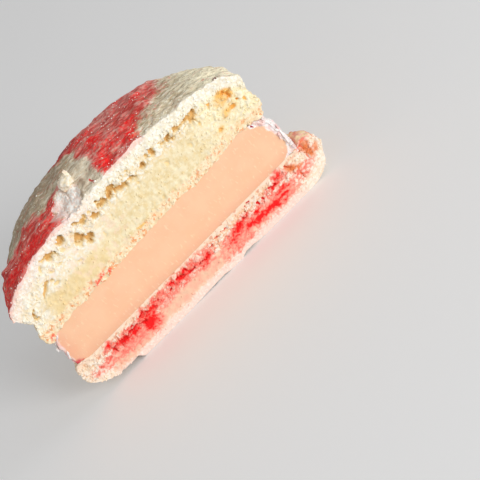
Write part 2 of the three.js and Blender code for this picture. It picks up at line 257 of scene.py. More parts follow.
def hollow_depth(x, z, hollows):
    """How deep the ragged hollows of a cut face are at each place, in millimetres."""
    spot = joined(x, 0, z)
    bites = grains(spot, 0.45, 42)[2] - 0.5
    ragged = 0.45 * ripple(spot, 0.8, 40) + 0.2 * ripple(spot, 0.28, 41) + 0.8 * bites
    deepest = np.zeros_like(x)
    for middle_x, middle_z, half_width, half_height, depth, turn in hollows:
        c, s = math.cos(math.radians(turn)), math.sin(math.radians(turn))
        across = ((x - middle_x) * c + (z - middle_z) * s) / half_width
        up = (-(x - middle_x) * s + (z - middle_z) * c) / half_height
        reach = np.hypot(across, up) + ragged
        deepest = np.maximum(deepest, depth * (1 - ramp(0.80, 1.25, reach)))
    return deepest


def stained(x, z, stains, seed):
    """How strongly a surface is stained at each place, with ragged edges."""
    spot = joined(x, 0, z)
    strongest = np.zeros_like(x)
    for middle_x, middle_z, half_width, half_height, strength in stains:
        across = (x - middle_x + 0.35 * ripple(spot, 1.0, seed)) / half_width
        up = (z - middle_z + 0.30 * ripple(spot, 0.8, seed + 1)) / half_height
        strongest = np.maximum(strongest, strength * np.exp(-0.65 * (across ** 2 + up ** 2)))
    return strongest


def to_frame(points):
    """Points of the drawing, in the frame's metres."""
    cut_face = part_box("filling")[0].y
    return points * 0.001 + np.array([DRAWING_MIDDLE * 0.001, cut_face, 0])


def placed(name, data):
    """A new object in the scene."""
    piece = bpy.data.objects.new(name, data)
    bpy.context.scene.collection.objects.link(piece)
    return piece


def closed_mesh(name, grids, fans=()):
    """One closed mesh from grids of points, and fans that close flat outlines from a middle point.
    Each is paired with its material's number. Points that meet are merged."""
    points, faces, numbers = [], [], []
    count = 0
    for grid, number in grids:
        rows, columns = grid.shape[:2]
        index = count + np.arange(rows * columns).reshape(rows, columns)
        quads = np.stack([index[:-1, :-1], index[1:, :-1], index[1:, 1:], index[:-1, 1:]], -1)
        points.append(grid.reshape(-1, 3))
        faces.append(quads.reshape(-1, 4))
        numbers.append(np.full(len(faces[-1]), number))
        count += rows * columns
    for outline, middle, number in fans:
        ring = count + np.arange(len(outline))
        last = np.full(len(outline), count + len(outline))
        points.append(np.concatenate([outline, [middle]]))
        faces.append(np.stack([ring, np.roll(ring, -1), last, last], -1))
        numbers.append(np.full(len(ring), number))
        count += len(outline) + 1
    points, numbers = np.concatenate(points), np.concatenate(numbers)
    kept, merged = np.unique(np.round(points, 5) + 0.0, axis=0, return_inverse=True)
    corners = merged.reshape(-1)[np.concatenate(faces)]
    shapes, kept_numbers = [], []
    for face, number in zip(corners.tolist(), numbers.tolist()):
        outline = list(dict.fromkeys(face))
        if len(outline) > 2:
            shapes.append(outline)
            kept_numbers.append(number)
    mesh = bpy.data.meshes.new(name)
    mesh.from_pydata(to_frame(kept).tolist(), [], shapes)
    mesh.polygons.foreach_set("material_index", kept_numbers)
    mesh.polygons.foreach_set("use_smooth", [True] * len(kept_numbers))
    whole = bmesh.new()
    whole.from_mesh(mesh)
    bmesh.ops.recalc_face_normals(whole, faces=whole.faces)
    whole.to_mesh(mesh)
    whole.free()
    return placed(name, mesh), mesh_points(mesh)


def mesh_points(mesh):
    """A mesh's points in the drawing's millimetres."""
    flat = np.empty(len(mesh.vertices) * 3, np.float32)
    mesh.vertices.foreach_get("co", flat)
    return (flat.reshape(-1, 3).astype(float) - to_frame(np.zeros(3))) * 1000


def remember(piece, name, values):
    """Stores one number at each point of a mesh for its material to read."""
    layers = piece.data.attributes
    layer = layers.get(name) or layers.new(name, "FLOAT", "POINT")
    layer.data.foreach_set("value", np.asarray(values, np.float32))


def crust_rise(x, y):
    """The crust's height over the rim: a flattened dome, a hump behind the cut, and swellings."""
    reach = np.minimum(1, np.hypot(x - TOP_MIDDLE, y) / TOP_RADIUS)
    dome = np.sqrt(np.maximum(0, 1 - reach ** DOME_POWER))
    hump = 4 * HUMP_BEHIND_CUT * np.maximum(0, y) * (1 - reach) / TOP_RADIUS
    uneven = sum(height * np.exp(-((x - sx) ** 2 + (y - sy) ** 2) / spread ** 2)
                 for sx, sy, spread, height in CRUST_SWELLS)
    return (DOME_RISE + hump) * dome + uneven * np.minimum(1, 3 * dome)


def crust_line(x):
    """The crust's height along the cut."""
    return RIM_HEIGHT + crust_rise(x, 0 * x) + SLOPE_ALONG_CUT * x


def seam_height(x, y=0):
    """Where the crumb meets the filling: wavy on the cut, and flat a little way behind it."""
    spot = joined(x, 0, 0)
    wavy = np.interp(x, *zip(*SEAM)) + 0.13 * ripple(spot, 0.7, 52) + 0.07 * ripple(spot, 0.3, 53)
    flat = UNDERSIDE + SLOPE_ALONG_CUT * x
    return flat + (wavy - flat) * np.exp(-np.maximum(y, 0) / WAVES_FADE_OVER)


def inwards(x, y, outline):
    """How far inside an outline in plan each place is, in millimetres, and below 0 outside it."""
    inside = np.zeros(x.shape, bool)
    away = np.full(x.shape, 99.0)
    for (ax, ay), (bx, by) in zip(outline, outline[1:] + outline[:1]):
        along = ((x - ax) * (bx - ax) + (y - ay) * (by - ay))
        share = np.clip(along / ((bx - ax) ** 2 + (by - ay) ** 2), 0, 1)
        away = np.minimum(away, np.hypot(x - ax - share * (bx - ax), y - ay - share * (by - ay)))
        if ay != by:
            inside ^= ((ay > y) != (by > y)) & (x < (bx - ax) * (y - ay) / (by - ay) + ax)
    return np.where(inside, away, -away)


def scraped(x, y):
    """1 where the crust's skin is scraped off, 0 where it is whole."""
    spot = joined(x, y, 0)
    wander = 0.5 * ripple(spot, 0.9, 50) + 0.4 * ripple(spot, 0.35, 51)
    return ramp(-0.35, 0.45, inwards(x, y, SCRAPE) + wander)


def crumb_lumps(x, z, size, seed):
    """For each place on a cut face: how far off its lump's middle it is, the lump's number, and how
    high it stands, from 0 in the creases to 1."""
    spot = joined(x, 0, 1.25 * z)
    sway = np.stack([ripple(spot, 0.6 * size, seed + axis) for axis in (7, 8, 9)], -1)
    nearest, second, number = grains(spot + 0.35 * size * sway, size, seed)
    return nearest, number, np.clip(second - nearest, 0, 0.5) * 2


def crumb_parts(x, z, spot, sizes, seed, pore_share, pore_edge, pinhole_share):
    """What torn crumb is made of: its lumps, crumbs, pores and pinholes, each from 0 to 1."""
    nearest, number, lumps = crumb_lumps(x, z, sizes[0], seed)
    fine, next_fine, fine_number = grains(spot, sizes[1], seed + 4)
    crumbs = np.clip(next_fine - fine, 0, 0.5) * 2
    pores = ramp(*pore_share, number) * (1 - ramp(*pore_edge, nearest))
    pinholes = ramp(*pinhole_share, fine_number) * (1 - ramp(0.15, 0.45, fine))
    return lumps, crumbs, pores, pinholes


def top_cut(x, z):
    """How far the top shell's cut face lies behind the knife's plane: crumb, pores and hollows."""
    spot = joined(x, 0, z)
    under = crust_line(x) - z
    over = z - seam_height(x)
    in_crust = 1 - ramp(1.3, 2.1, under + 0.3 * ripple(spot, 1.5, 60))
    dense = ramp(3.2, 4.6, under) * ramp(1.5, 2.4, over) * (1 - ramp(12, 19, np.abs(x + 1)))
    foot = 1 - ramp(1.4, 2.2, over)
    open_crumb = np.clip(1 - in_crust - dense - foot, 0, 1) * (1 - 0.55 * ramp(-13, -19, x))
    lumps, crumbs, pores, pinholes = crumb_parts(
        x, z, spot, (1.15, 0.42), 61, (0.80, 0.88), (0.18, 0.42), (0.72, 0.80))
    behind = 0.14 * ripple(spot, 4.5, 70)
    behind -= lumps * (0.34 * open_crumb + 0.05 * dense + 0.14 * in_crust + 0.16 * foot)
    behind -= crumbs * (0.06 * open_crumb + 0.02 * dense + 0.05 * in_crust + 0.06 * foot)
    behind += 0.10 * ripple(spot, 0.8, 71) * (1 - dense) + 0.06 * ripple(spot, 0.45, 72)
    behind += pores * (0.65 * open_crumb + 0.05 * dense + 0.05 * foot)
    behind += pinholes * (0.06 * open_crumb + 0.03 * in_crust + 0.12 * foot)
    return behind + 0.85 * hollow_depth(x, z, TOP_HOLLOWS)


def swirl(x, y, outlines, seed):
    """1 inside the coloured batter's outlines in plan and 0 outside, with feathered edges."""
    spot = joined(x * 0.55, y, 0)
    wander = 0.9 * ripple(spot, 1.9, seed) + 0.5 * ripple(spot, 0.7, seed + 1)
    straight = 1 - 0.85 * np.exp(-(x / 0.8) ** 2) * (1 - ramp(5, 8, y))
    feather = 0.8 + 1.5 * ramp(5, 9, x)
    reach = np.maximum(*[inwards(x, y, outline) for outline in outlines]) + wander * straight
    return ramp(-1, 1, reach / feather)


def foot_ruffles(points, heights, size, seed):
    """How far the frills and the clustered bubbles of a foot stand out."""
    frills = heights[0] * ripple(points * (0.6, 0.6, 1.3), size, seed)
    frills = frills + heights[1] * ripple(points, 0.9, seed + 1)
    swayed = points + 0.4 * ripple(points, 0.9, seed + 3)[..., None]
    nearest, second, _ = grains(swayed, 0.8, seed + 2)
    return frills + 0.35 * np.clip(second - nearest, 0, 0.5)


def round_surface(profile, turns, middle):
    """A grid of points: each profile point of (radius, z) is swept from the right end of the cut,
    round the back, to the left end."""
    angles = np.linspace(0, math.pi, turns)
    radius, z = profile[:, 0][:, None], profile[:, 1][:, None]
    return joined(middle + radius * np.cos(angles), radius * np.sin(angles), z)


def brought_to_cut(grid, relief):
    """The grid with its two ends laid on the cut face, so that both surfaces meet there."""
    grid = grid.copy()
    grid[:, [0, -1], 1] = 0
    near = np.exp(-np.maximum(grid[..., 1], 0) / CUT_FADES_OVER)
    grid[..., 1] = np.maximum(grid[..., 1], 0) + relief(grid[..., 0], grid[..., 2]) * near
    return grid


def cut_patch(bottom, top, left, right, relief):
    """The cut face between four lines in its plane, with its relief."""
    face = patch(bottom, top, left, right)
    laid = relief(face[..., 0], face[..., 2])
    for edge, line in (((slice(None), 0), bottom), ((slice(None), -1), top),
                       ((0, slice(None)), left), ((-1, slice(None)), right)):
        face[edge] = line
        laid[edge] = line[:, 1]
    face[..., 1] = laid
    return face


def shell_cut(outside, start, end, base_line, top_line, relief):
    """A shell's cut face. Between rows start and end of the outside its edges are the face's sides,
    and below and above these they go on along its base and top."""
    right, left = outside[:, 0], outside[:, -1]
    return cut_patch(
        np.concatenate([left[start:0:-1], base_line, right[1:start + 1]]),
        np.concatenate([left[end:-1], top_line, right[-2:end - 1:-1]]),
        left[start:end + 1],
        right[start:end + 1],
        relief,
    )


CRUMB, CRUST = 0, 1
dome_reach = np.linspace(1, 0, 400)
dome_curve = np.stack([
    TOP_RADIUS * dome_reach,
    RIM_HEIGHT + DOME_RISE * np.sqrt(np.maximum(0, 1 - dome_reach ** DOME_POWER)),
], -1)
shoulder_rows, foot_rows, dome_rows, turns = 16, 66, 150, 280
profile = np.concatenate([
    curve_through(TOP_SHOULDER, shoulder_rows)[:-1],
    curve_through(TOP_FOOT, foot_rows)[:-1],
    evenly(dome_curve, dome_rows),
])
outside = round_surface(profile, turns, TOP_MIDDLE)
x, y, z = np.moveaxis(outside, -1, 0)
on_dome = ramp(RIM_HEIGHT, RIM_HEIGHT + 0.3, z)
on_foot = (1 - ramp(17.4, 19.6, z)) * ramp(12.4, 13.6, z)
on_waist = (1 - ramp(17.4, 19.4, z)) * ramp(14.4, 16.4, z)
z = z + on_dome * (RIM_HEIGHT + crust_rise(x, y) - z) + SLOPE_ALONG_CUT * x
on_shoulder = 1 - ramp(19.4, 21.3, np.hypot(x - TOP_MIDDLE, y)) - on_dome
z = z + np.maximum(on_shoulder, 0) * (seam_height(x, y) - UNDERSIDE - SLOPE_ALONG_CUT * x)
z = z + RAISED_AT_RIGHT * ramp(12, 21, x) * (1 - ramp(14, 16.5, z)) * (1 - np.maximum(on_shoulder, 0))
outside = joined(x + WAIST_SHIFT * on_waist, y, z)
ruffles = foot_ruffles(outside, (0.32, 0.2), 1.9, 80)
wrinkles = (0.20 * ripple(outside * (0.5, 1, 1), 1.1, 85)
            + 0.17 * ripple(outside * (0.7, 1, 1), 0.6, 86)
            + 0.28 * ripple(outside, 2.6, 87))
peeled = scraped(outside[..., 0], outside[..., 1]) * on_dome
flayed = peeled * (0.35 - 0.5 * np.abs(ripple(outside * (1, 0.5, 1), 0.8, 88)))
flayed = flayed - 0.35 * stained(outside[..., 0], outside[..., 1], GROOVES, 101) * on_dome
outside = pushed(outside, -(on_foot * ruffles + on_dome * (wrinkles - flayed)))
outside = brought_to_cut(outside, top_cut)
right_edge, left_edge = outside[:, 0], outside[:, -1]
foot_start, dome_start = shoulder_rows - 1, shoulder_rows + foot_rows - 2
flat_line = np.linspace(left_edge[0], right_edge[0], 2 * dome_rows - 2 * shoulder_rows + 1)
flat_line[1:-1, 2] = seam_height(flat_line[1:-1, 0])
flat_line[1:-1, 1] = top_cut(flat_line[1:-1, 0], flat_line[1:-1, 2])
cut_face = shell_cut(outside, foot_start, dome_start, flat_line, left_edge[-1:], top_cut)
back_ring = outside[0, 1:-1]
flat_outline = np.concatenate([flat_line, back_ring])
top_shell, spots = closed_mesh(
    "top_shell_crumb_and_crust",
    [(cut_face, CRUMB), (outside, CRUST)],
    [(flat_outline, (0, FAN_MIDDLE, UNDERSIDE), CRUMB)],
)
x, y, z = spots.T
under, bare = crust_line(x) - z, scraped(x, y)
hollows = hollow_depth(x, z, TOP_HOLLOWS)
batter = swirl(x, y, RED_SWIRLS, 90)
for name, values in {
    "under_crust": under,
    "over_filling": z - seam_height(x, y),
    "hollow": hollows * (y < STAINS_REACH),
    "lump": crumb_lumps(x, z, 1.15, 61)[2],
    "red_batter": batter,
    "vivid": stained(x, y, VIVID_REDS, 92),
    "scraped": bare,
    "blush": stained(x, y, BLUSHES, 99),
    "fleck": stained(x, y, FLECKS, 100),
    "groove": stained(x, y, GROOVES, 101),
    "orange": stained(x, z, ORANGE_STAINS, 94) * (y < STAINS_REACH),
    "pink": stained(x, z, PINK_STAINS, 96) * (y < STAINS_REACH),
}.items():
    remember(top_shell, name, values)
on_cut = (y < TORN_DEPTH + 0.6 * (under < 0.4)) & (z > seam_height(x) + 0.1)
granular = np.select([under < 1.4, under < 3.6], [0.35, 0.9], 0.1)
granular *= 1 - 0.6 * ramp(-13, -18, x)
granular = np.maximum(granular, ramp(12, 18, np.abs(x + 2)) * 0.35)
granular = np.maximum(granular, (z - seam_height(x) < 1.6) * 0.6)
granular *= 1 - ramp(0.05, 0.4, hollows)
over_crust = under < 0.3
on_crust = 0.2 * bare + 0.1 * (y < 0.5)
remember(top_shell, "cover", np.where(over_crust, on_crust, granular * on_cut))


class Value:
    """A value in a node tree. Arithmetic on it adds Math nodes."""

    def __init__(self, nodes, socket):
        self.nodes = nodes
        self.socket = socket

    def math(self, operation, *values):
        return self.nodes.node("ShaderNodeMath", {"operation": operation}, dict(enumerate(values)))

    def __add__(self, other):
        return self.math("ADD", self, other)

    def __sub__(self, other):
        return self.math("SUBTRACT", self, other)

    def __rsub__(self, other):
        return self.math("SUBTRACT", other, self)

    def __mul__(self, other):
        return self.math("MULTIPLY", self, other)

    __radd__ = __add__
    __rmul__ = __mul__

    def most(self, other):
        return self.math("MAXIMUM", self, other)

    def step(self, low, high):
        """0 at low and 1 at high, smooth between them. Low may be the larger."""
        settings = {"interpolation_type": "SMOOTHSTEP"}
        inputs = {"Value": self, "From Min": low, "From Max": high}
        return self.nodes.node("ShaderNodeMapRange", settings, inputs)

    def part(self, name):
        """The x, y or z of a vector."""
        return self.nodes.node("ShaderNodeSeparateXYZ", None, {"Vector": self}, name.upper())


class Nodes:
    """A node tree that is being built."""

    def __init__(self, tree):
        self.tree = tree

    def node(self, kind, settings=None, inputs=None, output=0):
        """Any node: its kind, its settings, which are set first, and its inputs' values or links."""
        made = self.tree.nodes.new(kind)
        for name, setting in (settings or {}).items():
            setattr(made, name, setting)
        for name, given in (inputs or {}).items():
            if isinstance(given, Value):
                self.tree.links.new(given.socket, made.inputs[name])
            else:
                made.inputs[name].default_value = given
        return Value(self, made.outputs[output]) if len(made.outputs) else None


def paint(red, green, blue):
    """A colour as seen on a screen, each from 0 to 255, as the shader's own linear one."""
    shares = [part / 255 for part in (red, green, blue)]
    return (*(s / 12.92 if s < 0.04045 else ((s + 0.055) / 1.055) ** 2.4 for s in shares), 1.0)


class Finish(Nodes):
    """A material. Patterns in it are measured in the drawing's millimetres."""

    def __init__(self, name):
        self.material = bpy.data.materials.new(name)
        self.material.use_nodes = True
        super().__init__(self.material.node_tree)
        self.tree.nodes.clear()
        place = self.node("ShaderNodeTexCoord", output="Object")
        shift = tuple(-1000 * to_frame(np.zeros(3)))
        self.spot = self.node("ShaderNodeVectorMath", {"operation": "MULTIPLY_ADD"},
                              {0: place, 1: (1000, 1000, 1000), 2: shift})

    def stored(self, name):
        """The number that the mesh remembers under this name."""
        return self.node("ShaderNodeAttribute", {"attribute_name": name}, output="Fac")

    def stretched(self, by):
        return self.node("ShaderNodeVectorMath", {"operation": "MULTIPLY"}, {0: self.spot, 1: by})

    def noise(self, size, detail=3.0, spot=None):
        """Noise from 0 to 1 that changes over about one size, in millimetres."""
        inputs = {"Vector": spot or self.spot, "Scale": 1 / size, "Detail": detail}
        return self.node("ShaderNodeTexNoise", None, inputs)

    def flecks(self, size, share):
        """1 in a share of the grains of this size and 0 in the others."""
        inputs = {"Vector": self.spot, "Scale": 1 / size}
        number = self.node("ShaderNodeTexVoronoi", None, inputs, "Color").part("x")
        return number.step(1 - share, 1.04 - share)

    def mix(self, share, first, second):
        """Two colours mixed, each a link or its red, green and blue as seen on a screen."""
        first, second = (paint(*c) if isinstance(c, tuple) else c for c in (first, second))
        inputs = {0: share, 6: first, 7: second}
        return self.node("ShaderNodeMix", {"data_type": "RGBA"}, inputs, output=2)

    def coats(self, colour, *layers):
        """A colour with layers laid over it in turn, each how much of it covers and its colour."""
        for share, layer in layers:
            colour = self.mix(share, colour, layer)
        return colour

    def surface(self, colour, roughness, relief, depth, constants):
        """The finished surface. Relief is a height from 0 to 1 and depth its size in millimetres."""
        inputs = {"Height": relief, "Distance": depth * 0.001, "Strength": 1.0}
        bump = self.node("ShaderNodeBump", None, inputs)
        inputs = {"Base Color": colour, "Roughness": roughness, "Normal": bump, **constants}
        shader = self.node("ShaderNodeBsdfPrincipled", {"subsurface_method": "RANDOM_WALK"}, inputs)
        self.node("ShaderNodeOutputMaterial", None, {"Surface": shader})
        return self.material


DENT_SIZE = 0.35


def strewn(name, carrier, material, shape, density, seed, size, scales, tilt, curl, uneven):
    """Small shapes strewn over a mesh, as one new piece. Density is for each square millimetre, and
    the mesh's remembered number "cover" thins it. Sizes are in millimetres and tilt in degrees.
    Each shape is stretched by a factor between the two scales, and dented by up to uneven."""
    tree = bpy.data.node_groups.new(name, "GeometryNodeTree")
    tree.interface.new_socket("Geometry", in_out="INPUT", socket_type="NodeSocketGeometry")
    tree.interface.new_socket("Geometry", in_out="OUTPUT", socket_type="NodeSocketGeometry")
    wanted = {
        "Density": ("NodeSocketFloat", density * 1e6),
        "Seed": ("NodeSocketInt", seed),
        "Size": ("NodeSocketVector", [0.001 * side for side in size]),
        "Smallest": ("NodeSocketFloat", scales[0]),
        "Largest": ("NodeSocketFloat", scales[1]),
        "Tilt": ("NodeSocketFloat", math.radians(tilt)),
        "Curl": ("NodeSocketFloat", curl * 1000),
        "Unevenness": ("NodeSocketFloat", uneven * 0.001),
        "Finish": ("NodeSocketMaterial", material),
    }
    keys = {label: tree.interface.new_socket(label, in_out="INPUT", socket_type=kind).identifier
            for label, (kind, _) in wanted.items()}
    g = Nodes(tree)
    start = tree.nodes.new("NodeGroupInput")
    given = {label: Value(g, start.outputs[label]) for label in ("Geometry", *wanted)}

    def chance(low, high, shift):
        """A number from low to high for each point."""
        inputs = {2: low, 3: high, "Seed": given["Seed"] + shift}
        return g.node("FunctionNodeRandomValue", {"data_type": "FLOAT"}, inputs, 1)

    cover = g.node("GeometryNodeInputNamedAttribute", {"data_type": "FLOAT"}, {"Name": "cover"})
    inputs = {"Mesh": given["Geometry"], "Density": given["Density"] * cover,
              "Seed": given["Seed"]}
    points = g.node("GeometryNodeDistributePointsOnFaces", None, inputs)
    flat = Value(g, points.socket.node.outputs["Rotation"])
    if shape == "crumb":
        inputs = {"Radius": given["Size"].part("x") * 0.5, "Subdivisions": 2}
        small = g.node("GeometryNodeMeshIcoSphere", None, inputs)
    else:
        inputs = {"Size": given["Size"], "Vertices X": 7, "Vertices Y": 3, "Vertices Z": 2}
        small = g.node("GeometryNodeMeshCube", None, inputs)
    along = g.node("GeometryNodeInputPosition").part("x")
    lift = g.node("ShaderNodeCombineXYZ", None, {"Z": along * along * given["Curl"]})
    small = g.node("GeometryNodeSetPosition", None, {"Geometry": small, "Offset": lift})
    inputs = {"X": chance(-1.0, 1.0, 1) * given["Tilt"], "Y": chance(-1.0, 1.0, 2) * given["Tilt"],
              "Z": chance(-math.pi, math.pi, 3)}
    euler = g.node("ShaderNodeCombineXYZ", None, inputs)
    turn = g.node("FunctionNodeEulerToRotation", None, {"Euler": euler})
    inputs = {"Rotation": flat, "Rotate By": turn}
    turned = g.node("FunctionNodeRotateRotation", {"rotation_space": "LOCAL"}, inputs)
    stretch = g.node("ShaderNodeCombineXYZ", None, {
        axis: chance(given["Smallest"], given["Largest"], 4 + number)
        for number, axis in enumerate("XYZ")
    })
    inputs = {"Points": points, "Instance": small, "Rotation": turned, "Scale": stretch}
    laid = g.node("GeometryNodeInstanceOnPoints", None, inputs)
    settings = {"data_type": "FLOAT", "domain": "INSTANCE"}
    inputs = {"Geometry": laid, "Name": "own_number", "Value": chance(0.0, 1.0, 8)}
    laid = g.node("GeometryNodeStoreNamedAttribute", settings, inputs)
    whole = g.node("GeometryNodeRealizeInstances", None, {"Geometry": laid})
    wobble = g.node("ShaderNodeTexNoise", None, {"Scale": 1 / (DENT_SIZE * 0.001)}, "Color")
    centred = g.node("ShaderNodeVectorMath", {"operation": "SUBTRACT"}, {0: wobble, 1: (0.5, 0.5, 0.5)})
    inputs = {0: centred, "Scale": given["Unevenness"]}
    offset = g.node("ShaderNodeVectorMath", {"operation": "SCALE"}, inputs)
    whole = g.node("GeometryNodeSetPosition", None, {"Geometry": whole, "Offset": offset})
    whole = g.node("GeometryNodeSetShadeSmooth", None,
                   {"Geometry": whole, "Shade Smooth": shape == "crumb"})
    whole = g.node("GeometryNodeSetMaterial", None, {"Geometry": whole, "Material": given["Finish"]})
    g.node("NodeGroupOutput", None, {"Geometry": whole})
    ground = placed(name + "_ground", carrier.data.copy())
    modifier = ground.modifiers.new(name, "NODES")
    modifier.node_group = tree
    for label, (_, value) in wanted.items():
        modifier[keys[label]] = value
    depsgraph = bpy.context.evaluated_depsgraph_get()
    mesh = bpy.data.meshes.new_from_object(
        ground.evaluated_get(depsgraph), preserve_all_data_layers=True, depsgraph=depsgraph)
    ground.modifiers.remove(modifier)
    bpy.data.objects.remove(ground)
    return placed(name, mesh)


DRY = {"Specular IOR Level": 0.2}


def top_crumb():
    """White crumb under the crust, yellow and denser below it, amber in the hollows, and a paler,
    orange-flecked band where the foot meets the filling. The tan between the crumb's lumps is painted
    shade, and the hollows' amber is partly the browned walls' own colour and partly painted shade that
    deepens with their depth."""
    f = Finish("baked_meringue_crumb")
    under, over, hollow = f.stored("under_crust"), f.stored("over_filling"), f.stored("hollow")
    x, z, lump = f.spot.part("x"), f.spot.part("z"), f.stored("lump")
    clouds = f.noise(2.4) - 0.5
    patches = f.noise(1.0, 4.0)
    fine = f.noise(0.35)
    warm = x.step(-4, -11) * (over + clouds * 3).step(5.5, 3.5)
    yellow = f.coats(
        (244, 231, 196),
        (patches.step(0.35, 0.65), (234, 212, 162)),
        (fine.step(0.5, 0.7) * 0.5, (250, 243, 216)),
        (warm * 0.6, (243, 214, 156)),
    )
    # painted shade: tan in the creases between the crumb's lumps, white on their tops
    high = (lump * 0.7 + (fine - 0.5) * 1.4 + (patches - 0.5) * 0.8).step(-0.05, 0.5)
    loose = f.mix(high, (242, 220, 178), (251, 246, 232))
    loose = f.mix(patches.step(0.56, 0.70) * 0.5, loose, (240, 214, 164))
    upper = (under + clouds * 2.0 + (patches - 0.5) * 4).step(5.2, 3.2)
    left = x.step(-2, -9) * (z + clouds * 3 + (patches - 0.5) * 3).step(17.6, 19.4)
    left = left.most((x + clouds * 3).step(-18.5, -20.5))
    right = (x + clouds * 5).step(12, 17)
    rosy = x.step(1, -5) * x.step(-19, -14) * f.noise(1.3).step(0.5, 0.62)
    # painted shade between the lumps of the foot's crumb as well
    foot = f.mix(high * 0.8, (246, 218, 176), (252, 238, 208))
    specks = over.step(1.9, 0.9) * f.flecks(0.38, 0.2) * patches.step(0.4, 0.5)
    orange = (f.stored("orange") + (patches - 0.5)).step(0.2, 0.9)
    pale = (fine * 0.6 + patches * 0.4).step(0.44, 0.58)
    band_white = f.mix(pale, (244, 234, 210), (253, 250, 240))
    band_rosy = f.mix(pale, (247, 228, 208), (253, 246, 238))
    band = f.mix((x + clouds * 3).step(-3.0, -6.0), band_white, band_rosy)
    pink = f.stored("pink")
    pink = (pink * 0.8 + (f.noise(0.45, 4.0) - 0.5) * 2.2).step(0.25, 1.0) * pink.step(0.05, 0.4)
    tinge = f.stored("red_batter") * (under + (fine - 0.5) * 0.8).step(0.8, 0.1)
    # the hollows' amber: partly the browned walls' own colour, partly painted shade that deepens with
    # their depth
    deep = f.mix(hollow.step(0.3, 1.0), (246, 222, 172), (228, 186, 120))
    deep = f.mix(x.step(14, 17), deep, (246, 186, 98))
    colour = f.coats(
        yellow,
        (upper.most(left).most(right * 0.8), loose),
        (right * 0.5, (252, 240, 198)),
        (left * 0.3, (252, 244, 226)),
        (rosy * 0.4, (252, 222, 202)),
        ((over + clouds * 1.2).step(1.9, 1.1), foot),
        (specks * 0.8, (242, 164, 108)),
        (orange, (246, 196, 112)),
        ((under + clouds * 1.6 + (patches - 0.5) * 3).step(2.5, 1.2), band),
        (pink, (251, 106, 84)),
        (tinge * 0.5, (248, 186, 180)),
        (hollow.step(0.06, 0.35), deep),
    )
    return f.surface(colour, 0.85, fine, 0.06, DRY)


